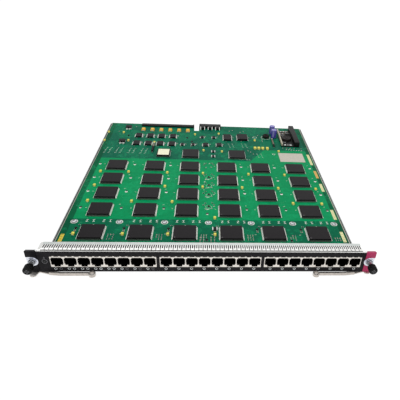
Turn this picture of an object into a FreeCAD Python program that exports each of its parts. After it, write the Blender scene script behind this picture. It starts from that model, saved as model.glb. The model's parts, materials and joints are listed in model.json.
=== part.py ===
"""Switch line card: a 24-port network module that slides into a chassis.

Frame while modelling: x across the card from its centre, y back from the face,
z up from the board's component side. Every piece is moved once, as it is saved,
to an origin at the middle of the card's underside.
"""
import FreeCAD, Part
import math
import os

V = FreeCAD.Vector

# Card and sheet metal
card_depth = 411.5          # face to the board's rear edge
layout_sheet = V(358.2, 411.5, 0)   # tray width and card depth that the board's layout is drawn for
panel_width = 382.2         # over the two end caps
rail_setback = 12.0         # each side wall, which runs in a chassis guide, inside the panel's end
sheet = 1.2                 # tray and front panel stock
board_thickness = 2.4
standoff_height = 5.4
board_side_gap = 0.5        # board edge to side wall
tray_wall_rise = 0.6        # side wall above the board's component side
tray_rear_inset = 20.0      # floor stops short of the board's rear edge
wall_rear_inset = 3.5       # side walls stop short of the board's rear edge
fold_radius = 0.8           # inside radius of a fold
lever_relief_depth = 14.6   # tray corners stop behind the levers
floor_edge_strip = 4.0      # floor left beside each wall at the rear
panel_gap = 0.4             # tray and front panel stand apart where they meet

# Face
face_height = 26.2
face_drop = 6.6             # face's lower edge below the component side
bezel_thickness = 1.6
flange_top = 21.4           # top of the front panel's upper flange
flange_depth = 16.5
flange_inset = 0.5          # upper flange's ends inside the side walls
flange_corner = 3.0
lower_flange_depth = 12.0
lower_flange_inset = 21.1   # lower flange's ends inside the side walls, clear of the levers
end_cap_width = 11.2
end_cap_proud = 0.6         # end caps stand in front of the bezel
end_cap_top = 21.8
end_cap_hook_depth = 2.6
end_cap_slope = 2.0
end_cap_corner = 1.0
cap_clearance = 0.15
web_rise = 0.3              # panel's ends stand above the face plate

# Grounding finger strip on the upper flange
finger_count = 154
strip_margin = 2.675        # strip's ends inside the flange's ends
finger_gap = 0.7
strip_stock = 0.25
strip_rear = 16.1
strip_rim = 4.6
strip_front = 2.1
finger_lift = 1.0           # free tips stand above the rim

# Ganged modular jacks
gang_count = 3
ports_per_gang = 8
jack_row_margin = 8.66      # face left beside the jack row, at each end, were it centred
port_wall = 1.97            # between the mouths of neighbouring ports
gang_gap = 3.6
jack_row_x = 4.2            # middle of the jack row from the card's centre
jack_height = 14.1
jack_depth = 16.4
shield_stock = 0.4
shield_proud = 0.3          # shield front stands in front of the bezel
frame_bottom = 0.2          # lower edge of the visible shield frame
window_gap = 0.25
port_roof = 11.6
shield_sill = 3.0           # shield's mouth on each side of the latch slot
plug_floor = 4.3            # floor of the plug cavity behind the sill
latch_inset = 2.7           # latch slot's sides inside the mouth's
latch_floor = 0.75
cavity_depth = 12.4

# Front indicators
led_radius = 1.15
led_z = -2.5
led_offsets = (-2.8, -0.5, 0.5)     # in each gang, from the port's middle
led_block = 3.2
guide_sides = 6
light_guide_proud = 0.2
led_hole_gap = 0.2
status_led_inset = 18.4     # from the panel's end
status_led_z = 7.5

# Captive screws
screw_inset = 5.7           # screw's axis from the panel's end
screw_z = 7.5
boss_radius = 6.1
boss_plate = 0.8
ferrule_radius = 4.2
ferrule_rim_radius = 4.8
ferrule_proud = 1.2
ferrule_length = 10.5
ferrule_clearance = 0.05    # in the end cap and the panel
boss_inset = 0.2            # boss plate's flat end inside the panel's end
cup_radius = 3.7
cup_bottom = 1.2
shank_radius = 2.2
running_gap = 0.06
collar_radius = 3.2
collar_end = 1.2
screw_tip = 17.0
neck_radius = 1.6
thread_radius = 1.95
ring_radius = 3.6
ring_mouth = 2.8            # gap that snaps over the neck
ring_thickness = 0.8
knob_radius = 4.8
knob_front = -17.0
knob_rear = -8.0
knob_flutes = 20
flute_depth = 0.4
knob_bore_radius = 2.4
knob_bore_depth = 6.0
spigot_clearance = 0.02
recess_width = 1.3
recess_span = 5.0
recess_depth = 1.2
spring_wire = 0.6
spring_turns = 4
spring_facets = 8

# Ejector levers
pivot_inset = 7.1           # lever's axis from the panel's end
pivot_y = 6.0
lever_stock = 1.2
lever_gap = 0.05
lever_top = -7.0
lever_eye_radius = 5.2
lever_arm_width = 4.6
lever_path = ((8.0, -7.2), (14.0, -9.2), (26.0, -10.7), (44.0, -10.9), (57.5, -10.7))
lever_arm_root = ((2.0, 4.4), (0.5, -5.0))
lever_flange_low = -8.7
lever_flange_high = -5.2
lever_curl = (59.6, -10.1)
curl_radius = 3.8
curl_hole_radius = 2.3
toe_radius = 3.8
toe_x = -1.8
left_toe_reach = 13.4
right_toe_reach = 9.0
pin_radius = 1.95
pin_head_radius = 3.4
pin_head = 0.65
ear_width = 14.0
ear_depth = 8.4
ear_inset = 0.6             # ear's outer edge inside the panel's end

# Board
board_front = 4.8
screw_row_y = 86.7
screw_columns = (-165.0, -110.0, -54.0, 1.4, 56.6, 111.2, 166.5)
screw_hole_radius = 1.8
screw_head_radius = 3.0
screw_head = 1.7
screw_shank_radius = 1.5
thread_gap = 0.05
standoff_radius = 3.0
ledge_rows = (60.0, 160.0, 260.0, 360.0)
ledge_length = 14.0
ledge_width = 6.0

# Backplane end of the board
backplane_x = (-121.5, -26.8)
backplane_recess = 7.5
backplane_body_setback = (12.5, 3.5)
backplane_height = 2.6
notch_x = (-25.2, -16.2)
notch_depth = 25.5
power_x = (-15.8, 24.2)
power_body_setback = (13.5, 2.5)
power_height = 5.0
power_block_length = 7.0
power_blocks = (-9.5, 4.4, 18.2)
power_block_width = 5.0
power_pin_width = 1.1
# Tail section: reach in front of the bar, height
power_tail_section = ((0, 4.0), (0, 3.2), (5.6, 0), (7.0, 0), (7.0, 0.8))
guide_post_width = 1.5
guide_post_height = 5.0

# Large flat packs
asic_columns = (-139.0, -81.5, -27.5, 30.0, 83.5, 140.0)
asic_rows = (62.8, 113.4, 155.5, 196.7, 239.4)
asic_size = 28.0
asic_height = 3.4
pack_draft = 0.4
lead_reach = 1.5
lead_shoulder = 0.5         # share of the height where the leads leave the body

# Smaller packages
driver_size = (10.5, 15.5, 2.6)
driver_reach = 1.9
driver_pitch = 19.8
driver_start_x = -121.0
driver_rows = (323.3, 355.5)
small_driver = (5.2, 9.4, 1.8)
small_driver_reach = 1.4
medium_driver = (9.0, 12.4, 2.2)
drivers = [(driver_start_x + i * driver_pitch, y) + driver_size + (driver_reach,)
           for y in driver_rows for i in range(4)]
drivers += [(x, y) + small_driver + (small_driver_reach,)
            for x, y in ((-43.5, 322.8), (-25.1, 323.6), (-9.9, 356.3), (10.7, 356.0))]
drivers += [(x, y) + medium_driver + (small_driver_reach,) for x, y in ((-3.5, 323.4), (19.8, 324.6))]
drivers += [(35.3, 356.2, 14.0, 24.0, 3.0, 1.4), (62.3, 357.0, 18.6, 23.4, 4.2, 1.2)]
controllers = [(-28.0, 285.0, 24.6, 27.0, 3.4), (49.0, 285.6, 25.4, 27.0, 3.4)]
rom = (-72.0, 284.6, 19.6, 23.0, 4.0)
rom_lead_reach = 1.1

# Capacitors
tantalum_size = (3.2, 5.0, 2.5)
# Each row between the flat packs: its place along the board, then the blocks' places across
tantalum_rows = (
    (134.4, (-159.5, -102.0, -48.0, 119.5, 160.5)),
    (176.1, (-159.5, -61.0, -7.0, 50.5, 104.0, 160.5)),
    (218.0, (-159.5, -118.5, -61.0, -7.0, 63.0, 119.5)),
    (59.4, (-159.5, -102.0, -48.0, 9.5)))
loose_tantalums = (
    (9.7, 96.3), (-149.0, 366.0), (-175.0, 366.0), (-175.5, 330.0), (-136.0, 332.0), (-91.4, 327.0),
    (-23.0, 366.0), (20.0, 372.0), (-7.0, 300.0), (24.0, 297.0), (84.3, 347.0), (122.0, 304.0))
supply_tantalums = (82.0, 88.7, 95.4, 103.5)
supply_row_y = 314.0
supply_tantalum_size = (4.4, 7.0, 2.9)
bulk_tantalum_size = (7.0, 9.0, 3.6)
bulk_tantalum_pitch = 16.0
bulk_tantalum_x = -116.4
bulk_tantalum_y = 382.0
bulk_tantalum_count = 6

# Transistors
transistor_size = (2.6, 3.2, 1.2)
front_transistor_y = 72.3
front_transistor_offset = 20.5  # from the flat pack's middle
loose_transistors = (
    (-139.0, 355.0), (-36.5, 352.0), (-27.5, 336.0), (9.4, 297.0), (9.2, 279.0), (2.0, 207.8),
    (2.0, 183.3), (2.0, 156.7), (1.9, 125.6), (-0.6, 49.7), (103.9, 49.0))
power_transistors = ((-143.4, 388.5), (-145.5, 326.5))
power_transistor_size = (10.2, 9.2, 4.4)
power_tab = 1.3
power_leg_pitch = 2.54
power_leg_width = 0.9
# Leg section: reach in front of the body, height
power_leg_section = ((0, 2.2), (0, 1.7), (2.6, 0), (3.4, 0), (3.4, 0.5))
power_tab_reach = 1.4
power_tab_inset = 0.2

# Supply corner
electrolytics = ((119.4, 383.5), (120.6, 365.6))
electrolytic_radius = 5.0
electrolytic_height = 15.5
choke_x = 106.0
choke_y = 363.7
choke_radius = 6.2
choke_bore = 2.2
choke_height = 6.0
converter_x = (130.0, 162.0)
converter_y = (326.0, 394.0)
converter_base = 1.8
converter_side = 2.4
converter_side_height = 6.0
converter_core_radius = 8.6
converter_core_height = 6.4
converter_core_shift = 6.0  # core forward of the middle
heat_bar_x = (153.0, 162.0)
heat_bar_y = (325.0, 402.0)
heat_bar_height = 9.5
fuse_places = ((-91.2, 305.0), (116.2, 338.0))
fuse_radius = 1.7
fuse_sides = 12
fuse_length = 32.0
fuse_lift = 0.5
fuse_leg = 0.9

# Stickers and isolation transformers
label_stock = 0.15
patch_label = ((120.4, 162.4), (266.5, 299.5))
edge_label_width = 4.2
edge_label_inset = 6.0
right_labels = ((257.0, 296.0), (212.0, 236.0), (171.0, 194.0), (97.0, 121.0), (47.0, 69.0))
left_labels = ((44.0, 60.0),)
magnetics_size = (15.2, 9.4, 5.6)
magnetics_y = 27.0


def box(x, y, z):
    """Block between pairs of limits."""
    return Part.makeBox(x[1] - x[0], y[1] - y[0], z[1] - z[0], V(x[0], y[0], z[0]))


def around(centre, width):
    """Limits of a width about a centre."""
    return (centre - width / 2, centre + width / 2)


def plate(points, z):
    """Flat outline in x and y, thickened between two heights."""
    wire = Part.makePolygon([V(x, y, z[0]) for x, y in points + points[:1]])
    return Part.Face(wire).extrude(V(0, 0, z[1] - z[0]))


def front_profile(points, y):
    """Outline in x and z, thickened between two depths."""
    wire = Part.makePolygon([V(x, y[0], z) for x, z in points + points[:1]])
    return Part.Face(wire).extrude(V(0, y[1] - y[0], 0))


def side_profile(points, x):
    """Outline in y and z, thickened between two sides."""
    wire = Part.makePolygon([V(x[0], y, z) for y, z in points + points[:1]])
    return Part.Face(wire).extrude(V(x[1] - x[0], 0, 0))


def post(x, y, z, radius):
    """Round bar standing on the board or tray."""
    return Part.makeCylinder(radius, z[1] - z[0], V(x, y, z[0]), V(0, 0, 1))


def bar_y(x, z, y, radius):
    """Round bar along the card's depth."""
    return Part.makeCylinder(radius, y[1] - y[0], V(x, y[0], z), V(0, 1, 0))


def facet_bar_y(x, z, y, radius, count=8):
    """Bar with flats along the card's depth; radius is to the middle of a flat."""
    corner = radius / math.cos(math.pi / count)
    angles = [2 * math.pi * (i + 0.5) / count for i in range(count)]
    return front_profile([(x + corner * math.cos(a), z + corner * math.sin(a)) for a in angles], y)


def facet_post(x, y, z, radius, count):
    """Upright bar with flats; radius is to the middle of a flat."""
    corner = radius / math.cos(math.pi / count)
    angles = [2 * math.pi * (i + 0.5) / count for i in range(count)]
    return plate([(x + corner * math.cos(a), y + corner * math.sin(a)) for a in angles], z)


def turned_y(x, z, profile):
    """Turned piece about an axis along the depth, from (depth, radius) pairs."""
    points = [V(x + r, y, z) for y, r in profile + profile[:1]]
    face = Part.Face(Part.makePolygon(points))
    return face.revolve(V(x, 0, z), V(0, 1, 0), 360)


def turned_z(x, y, profile):
    """Turned piece about an upright axis, from (radius, height) pairs."""
    points = [V(x + r, y, z) for r, z in profile + profile[:1]]
    face = Part.Face(Part.makePolygon(points))
    return face.revolve(V(x, y, 0), V(0, 0, 1), 360)


def fused(shapes):
    """One solid from several that meet."""
    return shapes[0].multiFuse(shapes[1:]).removeSplitter()


def fillet_edges(shape, radius, wanted):
    """Round the edges that a test picks by their middle point and direction."""
    chosen = [e for e in shape.Edges if wanted(e.CenterOfMass, e.tangentAt(e.FirstParameter))]
    return shape.makeFillet(radius, chosen)


# Levels and half widths that follow from the driving sizes
board_bottom = -board_thickness
floor_top = board_bottom - standoff_height
tray_bottom = floor_top - sheet
panel_half = panel_width / 2
tray_half = panel_half - rail_setback
width_ratio = 2 * tray_half / layout_sheet.x
depth_ratio = card_depth / layout_sheet.y
flange_half = tray_half - flange_inset
lower_flange_half = tray_half - lower_flange_inset
screw_x = panel_half - screw_inset
pivot_x = panel_half - pivot_inset
status_led_x = -(panel_half - status_led_inset)
finger_pitch = 2 * (flange_half - strip_margin) / (finger_count + 1)
wall_inside = tray_half - sheet
board_half = wall_inside - board_side_gap
face_bottom = -face_drop
face_top = face_bottom + face_height
web = (bezel_thickness, bezel_thickness + sheet)
bezel_half = panel_half - end_cap_width
web_end_top = face_top + web_rise
ear_level = (lever_top + lever_gap, lever_top + lever_gap + sheet)
jack_row = 2 * (bezel_half - jack_row_margin)
gang_width = (jack_row - (gang_count - 1) * gang_gap) / gang_count
port_pitch = gang_width / ports_per_gang
port_half = (port_pitch - port_wall) / 2
latch_half = port_half - latch_inset
gang_pitch = gang_width + gang_gap
gang_centres = [jack_row_x + (g - (gang_count - 1) / 2) * gang_pitch for g in range(gang_count)]
tray_floor_rear = card_depth - tray_rear_inset
wall_rear = card_depth - wall_rear_inset
origin_shift = V(0, -(card_depth + knob_front) / 2, -tray_bottom)


def across(x):
    """Place across the board, drawn with the layout and moved with the tray's width."""
    return x * width_ratio


def along(y):
    """Place along the board, drawn with the layout and moved with the card's depth."""
    return y * depth_ratio


def span(limits, place):
    """Two limits of a stretch, each moved with the board."""
    return (place(limits[0]), place(limits[1]))


backplane_stretch = span(backplane_x, across)
notch_stretch = span(notch_x, across)
power_stretch = span(power_x, across)
backplane_body = (card_depth - backplane_body_setback[0], card_depth - backplane_body_setback[1])
power_body = (card_depth - power_body_setback[0], card_depth - power_body_setback[1])
asic_places = [[(across(x), along(y)) for x in asic_columns] for y in asic_rows]
screw_places = [(across(x), along(screw_row_y)) for x in screw_columns]
ledge_places = [along(y) for y in ledge_rows]


def port_centres(gang_x):
    """Middle of each port of one gang."""
    middle = (ports_per_gang - 1) / 2
    return [gang_x + (i - middle) * port_pitch for i in range(ports_per_gang)]


all_ports = [x for gang_x in gang_centres for x in port_centres(gang_x)]
light_places = [x + offset for gang_x, offset in zip(gang_centres, led_offsets)
                for x in port_centres(gang_x)]


def save(name, shapes):
    """Move a piece, or a group of like pieces, to the card's origin and write it."""
    group = shapes if isinstance(shapes, list) else [shapes]
    whole = group[0] if len(group) == 1 else Part.makeCompound(group)
    moved = whole.copy()
    moved.translate(origin_shift)
    moved.exportStep("parts/" + name + ".step")


# ---------------------------------------------------------------- sheet metal

def carrier_tray():
    """Folded pan that carries the board: floor, two side walls and lanced ledges."""
    outer = box((-tray_half, tray_half), (0, wall_rear), (tray_bottom, tray_wall_rise))
    inner = box((-wall_inside, wall_inside), (-1, wall_rear + 1), (floor_top, tray_wall_rise + 1))
    pan = outer.cut(inner)
    along = lambda c, t: abs(t.y) > 0.9 and abs(c.x) > wall_inside - 0.1
    pan = fillet_edges(pan, fold_radius + sheet, lambda c, t: along(c, t) and c.z < tray_bottom + 0.01
                       and abs(c.x) > tray_half - 0.01)
    pan = fillet_edges(pan, fold_radius, lambda c, t: along(c, t) and abs(c.z - floor_top) < 0.01)
    front_relief = [box(sorted_pair(side * lower_flange_half, side * (tray_half + 1)),
                        (-1, lever_relief_depth), (tray_bottom - 1, tray_wall_rise + 1))
                    for side in (-1, 1)]
    lip = box((-tray_half - 1, tray_half + 1), (-1, web[1] + panel_gap), (tray_bottom - 1, 1))
    open_width = 2 * (wall_inside - floor_edge_strip)
    rear_relief = box(around(0, open_width), (tray_floor_rear, wall_rear + 1),
                      (tray_bottom - 1, floor_top + 1))
    pan = pan.cut(Part.makeCompound(front_relief + [lip, rear_relief]))
    return fused([pan] + [edge_ledge(side, y) for side in (-1, 1) for y in ledge_places])


def sorted_pair(a, b):
    """Two limits in rising order."""
    return (min(a, b), max(a, b))


def edge_ledge(side, y):
    """Tab folded in from a side wall; the board's edge rests on it."""
    wall = side * (wall_inside + sheet / 2)
    inner = side * (wall_inside - ledge_width)
    return box(sorted_pair(wall, inner), around(y, ledge_length), (board_bottom - sheet, board_bottom))


def front_panel():
    """Folded front panel: face web, upper flange, lower flange and two lever ears."""
    web_plate = box((-flange_half, flange_half), web, (face_bottom, flange_top))
    ends = box((-panel_half, panel_half), web, (face_bottom, web_end_top))
    upper = box((-flange_half, flange_half), (web[0], flange_depth), (flange_top - sheet, flange_top))
    upper = fillet_edges(upper, flange_corner, lambda c, t: abs(t.z) > 0.9 and c.y > flange_depth - 1)
    half = lower_flange_half - panel_gap
    lower_web = box((-half, half), web, (floor_top, face_bottom))
    lower = box((-half, half), (web[0], web[1] + lower_flange_depth), (floor_top, floor_top + sheet))
    ears = [lever_ear(side) for side in (-1, 1)]
    panel = fused([web_plate, ends, upper, lower_web, lower] + ears)
    panel = fillet_edges(panel, fold_radius + sheet, lambda c, t: abs(t.x) > 0.9
                         and abs(c.y - web[0]) < 0.01 and c.z > flange_top - 0.01)
    cuts = [gang_window(x, web) for x in gang_centres]
    guide_slot = around(led_z, 2 * (led_radius + led_hole_gap))
    cuts += [box(around(x, gang_width - port_pitch + 2 * port_half), (web[0] - 1, web[1] + 1), guide_slot)
             for x in gang_centres]
    cuts += [facet_bar_y(status_led_x, status_led_z, (web[0] - 1, web[1] + 1),
                         led_radius + led_hole_gap)]
    cuts += [bar_y(side * screw_x, screw_z, (web[0] - 1, web[1] + 1), ferrule_radius + ferrule_clearance)
             for side in (-1, 1)]
    return panel.cut(Part.makeCompound(cuts))


def lever_ear(side):
    """Ear folded back from the web's foot; the lever's rivet is set in it."""
    outer = panel_half - ear_inset
    ear = box(sorted_pair(side * (outer - ear_width), side * outer), (web[0], web[1] + ear_depth),
              ear_level)
    hole = post(side * pivot_x, pivot_y, (ear_level[0] - 1, ear_level[1] + 1), pin_radius)
    return ear.cut(hole)


def gang_window(gang_x, y):
    """Opening for one shielded gang of jacks."""
    half = gang_width / 2 + window_gap
    return box((gang_x - half, gang_x + half), (y[0] - 1, y[1] + 1),
               (frame_bottom - window_gap, jack_height + window_gap))


def face_bezel():
    """Face plate with three jack windows and a hole for each indicator."""
    blank = box((-bezel_half, bezel_half), (0, bezel_thickness), (face_bottom, face_top))
    cuts = [gang_window(x, (0, bezel_thickness)) for x in gang_centres]
    through = (-1, bezel_thickness + 1)
    cuts += [facet_bar_y(x, led_z, through, led_radius + led_hole_gap, guide_sides) for x in light_places]
    cuts += [facet_bar_y(status_led_x, status_led_z, through, led_radius + led_hole_gap)]
    cuts += [bar_y(side * screw_x, screw_z, through, boss_radius + cap_clearance) for side in (-1, 1)]
    return blank.cut(Part.makeCompound(cuts))


def end_cap(side):
    """C-shaped end cap around the screw's boss, hooked over the panel's top edge."""
    inner = bezel_half + cap_clearance
    outline = [(panel_half, face_bottom), (panel_half, end_cap_top), (inner + end_cap_slope, end_cap_top),
               (inner, end_cap_top - end_cap_slope), (inner, face_bottom)]
    body = front_profile([(side * x, z) for x, z in outline], (-end_cap_proud, bezel_thickness))
    body = fillet_edges(body, end_cap_corner, lambda c, t: abs(t.y) > 0.9 and abs(c.x) > panel_half - 0.1)
    hook = box(sorted_pair(side * (inner + end_cap_slope), side * (panel_half - end_cap_corner)),
               (bezel_thickness, bezel_thickness + end_cap_hook_depth),
               (web_end_top + cap_clearance, end_cap_top))
    seat_depth = (-end_cap_proud - 1, bezel_thickness - boss_plate)
    seat = bar_y(side * screw_x, screw_z, seat_depth, boss_radius + cap_clearance)
    slot = box(sorted_pair(side * screw_x, side * (panel_half + 1)), seat_depth,
               around(screw_z, 2 * (boss_radius + cap_clearance)))
    bore = bar_y(side * screw_x, screw_z, (-1, bezel_thickness + 1), ferrule_radius + ferrule_clearance)
    return fused([body, hook]).cut(Part.makeCompound([seat, slot, bore]))


def finger_strip():
    """Sprung grounding strip: a flat rim and a row of fingers that rise to free front tips."""
    zone = finger_count * finger_pitch
    root = strip_rear - strip_rim
    low = flange_top
    section = [(strip_rear, low), (root, low), (strip_front, low + finger_lift),
               (strip_front, low + finger_lift + strip_stock), (root, low + strip_stock),
               (strip_rear, low + strip_stock)]
    strip = side_profile(section, around(0, zone + finger_pitch))
    slots = [box(around(-zone / 2 + i * finger_pitch, finger_gap), (strip_front - 1, root),
                 (low - 1, low + finger_lift + 1)) for i in range(finger_count + 1)]
    return strip.cut(Part.makeCompound(slots))


# ---------------------------------------------------------------- jacks

def port_outline(x, floor):
    """Mouth of a modular jack: plug opening down to a floor, and the latch slot below."""
    right = [(latch_half, latch_floor), (latch_half, floor), (port_half, floor), (port_half, port_roof)]
    left = [(-dx, z) for dx, z in reversed(right)]
    return [(x + dx, z) for dx, z in right + left]


def jack_shield(gang_x):
    """Folded metal shield over one gang: front frame, top, sides and back."""
    half = gang_width / 2
    front = (-shield_proud, -shield_proud + shield_stock)
    frame = box((gang_x - half, gang_x + half), front, (frame_bottom, jack_height))
    mouths = [front_profile(port_outline(x, shield_sill), (front[0] - 1, front[1] + 1))
              for x in port_centres(gang_x)]
    frame = frame.cut(Part.makeCompound(mouths))
    cover = box((gang_x - half, gang_x + half), (front[1], jack_depth), (frame_bottom, jack_height))
    hollow = box((gang_x - half + shield_stock, gang_x + half - shield_stock),
                 (front[1] - 1, jack_depth - shield_stock), (-1, jack_height - shield_stock))
    skirt = box((gang_x - half, gang_x + half), (web[1] + window_gap, jack_depth), (0, frame_bottom))
    cover = cover.fuse(skirt).cut(hollow)
    return fused([frame, cover])


def jack_housing(gang_x):
    """Moulded block of one gang with a cavity and a latch channel for each plug."""
    half = gang_width / 2 - shield_stock
    front = -shield_proud + shield_stock
    top = jack_height - shield_stock
    block = box((gang_x - half, gang_x + half), (front, jack_depth - shield_stock), (frame_bottom, top))
    foot = box((gang_x - half, gang_x + half), (web[1] + window_gap, jack_depth - shield_stock),
               (0, frame_bottom))
    cavities = [front_profile(port_outline(x, plug_floor), (front - 1, cavity_depth))
                for x in port_centres(gang_x)]
    return block.fuse(foot).removeSplitter().cut(Part.makeCompound(cavities))


def light_guide(x):
    """Clear guide from the board's front edge out through the face."""
    return facet_bar_y(x, led_z, (-light_guide_proud, board_front), led_radius, guide_sides)


def status_light():
    """Tall light that stands on the board beside the first jack, with its lens in the face."""
    front = web[1] + led_hole_gap
    stem = box(around(status_led_x, led_block), (front, board_front + led_block),
               (0, status_led_z + led_block / 2))
    lens = facet_bar_y(status_led_x, status_led_z, (-light_guide_proud, front), led_radius)
    return fused([stem, lens])


# ---------------------------------------------------------------- captive screws

def screw_ferrule(side):
    """Bushing with a D-shaped boss plate in front and a spring cup behind."""
    x = side * screw_x
    seat_back = bezel_thickness - boss_plate
    plate_depth = (seat_back - boss_plate, seat_back)
    outer_edge = side * (panel_half - boss_inset)
    disc = bar_y(x, screw_z, plate_depth, boss_radius)
    disc = disc.common(box(sorted_pair(0, outer_edge), plate_depth, around(screw_z, 2 * boss_radius)))
    tongue = box(sorted_pair(x, outer_edge), plate_depth, around(screw_z, 2 * boss_radius))
    barrel = turned_y(x, screw_z, [
        (-ferrule_proud, cup_radius), (-ferrule_proud, ferrule_rim_radius),
        (seat_back - boss_plate, ferrule_rim_radius), (seat_back - boss_plate, ferrule_radius),
        (ferrule_length, ferrule_radius),
        (ferrule_length, shank_radius + running_gap),
        (ferrule_length - cup_bottom, shank_radius + running_gap),
        (ferrule_length - cup_bottom, cup_radius)])
    cup = bar_y(x, screw_z, (-ferrule_proud - 1, ferrule_length - cup_bottom), cup_radius)
    return fused([disc, tongue]).cut(cup).fuse(barrel).removeSplitter()


def captive_screw(side):
    """Turned screw: knob spigot, collar, shank, ring seat and threaded end."""
    neck_start = ferrule_length + running_gap
    neck_end = neck_start + ring_thickness + 2 * running_gap
    spigot_radius = knob_bore_radius - spigot_clearance
    profile = [
        (knob_rear - knob_bore_depth, 0), (knob_rear - knob_bore_depth, spigot_radius),
        (knob_rear, spigot_radius), (knob_rear, collar_radius), (collar_end, collar_radius),
        (collar_end, shank_radius), (neck_start, shank_radius), (neck_start, neck_radius),
        (neck_end, neck_radius), (neck_end, thread_radius), (screw_tip, thread_radius), (screw_tip, 0)]
    return turned_y(side * screw_x, screw_z, profile)


def retaining_ring(side):
    """Open ring snapped into the screw's neck; it keeps the screw in its ferrule."""
    x = side * screw_x
    start = ferrule_length + 2 * running_gap
    ring = bar_y(x, screw_z, (start, start + ring_thickness), ring_radius)
    through = (start - 1, start + ring_thickness + 1)
    mouth = box(around(x, ring_mouth), through, (screw_z - ring_radius - 1, screw_z))
    return ring.cut(bar_y(x, screw_z, through, neck_radius + running_gap)).cut(mouth)


def screw_knob(side):
    """Fluted knob with a cross recess in its front face."""
    x = side * screw_x
    outline = []
    for i in range(knob_flutes):
        turn = 2 * math.pi / knob_flutes
        for radius, offset in ((knob_radius, 0.0), (knob_radius, 0.5), (knob_radius - flute_depth, 0.75)):
            angle = (i + offset) * turn
            outline.append((x + radius * math.cos(angle), screw_z + radius * math.sin(angle)))
    blank = front_profile(outline, (knob_front, knob_rear))
    recess_y = (knob_front - 1, knob_front + recess_depth)
    cross = [box(around(x, recess_span), recess_y, around(screw_z, recess_width)),
             box(around(x, recess_width), recess_y, around(screw_z, recess_span))]
    bore = bar_y(x, screw_z, (knob_rear - knob_bore_depth, knob_rear + 1), knob_bore_radius)
    return blank.cut(fused(cross)).cut(bore)


def screw_spring(side):
    """Coil that holds the screw out; it sits in the ferrule's cup behind the collar."""
    start = collar_end + spring_wire / 2
    end = ferrule_length - cup_bottom - spring_wire / 2
    mean_radius = (shank_radius + cup_radius) / 2
    half = spring_wire / 2
    count = spring_turns * spring_facets
    rings = []
    for i in range(count + 1):
        angle = 2 * math.pi * i / spring_facets
        along = start + (end - start) * i / count
        rings.append([V(r * math.cos(angle), along + dy, r * math.sin(angle))
                      for r, dy in ((mean_radius - half, -half), (mean_radius + half, -half),
                                    (mean_radius + half, half), (mean_radius - half, half))])
    faces = [Part.Face(Part.makePolygon(ring + ring[:1])) for ring in (rings[0], rings[-1])]
    for near, far in zip(rings, rings[1:]):
        for j in range(4):
            k = (j + 1) % 4
            for triangle in ((near[j], near[k], far[k]), (near[j], far[k], far[j])):
                faces.append(Part.Face(Part.makePolygon(list(triangle) + [triangle[0]])))
    coil = Part.Solid(Part.Shell(faces))
    if coil.Volume < 0:
        coil.reverse()
    coil.translate(V(side * screw_x, 0, screw_z))
    return coil


# ---------------------------------------------------------------- levers

def band(path, width, z):
    """Strip of plate along a path, widened towards the rear."""
    front = list(path)
    back = [(x, y + width) for x, y in reversed(path)]
    return plate(front + back, z)


def ejector_lever(side, toe_reach):
    """Stamped lever: eye, cam toe, arm with an upright flange, and a rolled end."""
    flat = (lever_top - lever_stock, lever_top)
    tall = (lever_flange_low, lever_flange_high)
    eye = post(0, 0, flat, lever_eye_radius)
    toe_y = -(toe_reach - toe_radius)
    toe = post(toe_x, toe_y, flat, toe_radius)
    toe_neck = plate([(toe_x - toe_radius, toe_y), (toe_x + toe_radius, toe_y),
                      (lever_eye_radius, 0), (-lever_eye_radius, 0)], flat)
    first_x, first_y = lever_path[0]
    arm_root = plate([(first_x, first_y), (first_x, first_y + lever_arm_width)] + list(lever_arm_root),
                     flat)
    arm = band(lever_path, lever_arm_width, flat)
    flange = band(lever_path[1:], lever_stock, tall)
    curl = post(lever_curl[0], lever_curl[1], tall, curl_radius)
    lever = fused([eye, toe, toe_neck, arm_root, arm, flange, curl])
    lever = lever.cut(post(0, 0, (flat[0] - 1, flat[1] + 1), pin_radius + lever_gap))
    lever = lever.cut(post(lever_curl[0], lever_curl[1], (tall[0] - 1, tall[1] + 1), curl_hole_radius))
    if side > 0:
        lever = lever.mirror(V(0, 0, 0), V(1, 0, 0))
    lever.translate(V(side * pivot_x, pivot_y, 0))
    return lever


def lever_pin(side):
    """Rivet with its head under the lever, set in the panel's ear."""
    low = lever_top - lever_stock - lever_gap
    profile = [(0, low - pin_head), (pin_head_radius, low - pin_head), (pin_head_radius, low),
               (pin_radius, low), (pin_radius, ear_level[1]), (0, ear_level[1])]
    return turned_z(side * pivot_x, pivot_y, profile)


# ---------------------------------------------------------------- board and its fixings

def main_board():
    """Circuit board with a recess and a notch at the backplane end."""
    rear = card_depth
    recess = rear - backplane_recess
    notch = rear - notch_depth
    recess_end = backplane_stretch[0] - board_side_gap
    notch_left, notch_right = notch_stretch
    outline = [(-board_half, board_front), (board_half, board_front), (board_half, rear),
               (notch_right, rear), (notch_right, notch), (notch_left, notch), (notch_left, recess),
               (recess_end, recess), (recess_end, rear), (-board_half, rear)]
    board = plate(outline, (board_bottom, 0))
    holes = [facet_post(x, y, (board_bottom - 1, 1), screw_hole_radius, 8) for x, y in screw_places]
    return board.cut(Part.makeCompound(holes))


def board_screws():
    """Low-head screws that hold the board down on its standoffs."""
    return [fused([facet_post(x, y, (0, screw_head), screw_head_radius, 12),
                   facet_post(x, y, (floor_top, 0), screw_shank_radius - thread_gap, 6)])
            for x, y in screw_places]


def board_standoffs():
    """Six-sided threaded standoffs on the tray's floor."""
    level = (floor_top, board_bottom)
    bore = (floor_top - 1, 1)
    return [facet_post(x, y, level, standoff_radius, 6).cut(facet_post(x, y, bore, screw_shank_radius, 6))
            for x, y in screw_places]


# ---------------------------------------------------------------- packages

def rectangle(x, y, width, depth, z):
    """Closed rectangle at one height."""
    w = width / 2
    d = depth / 2
    corners = [V(x - w, y - d, z), V(x + w, y - d, z), V(x + w, y + d, z), V(x - w, y + d, z)]
    return Part.makePolygon(corners + corners[:1])


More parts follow.
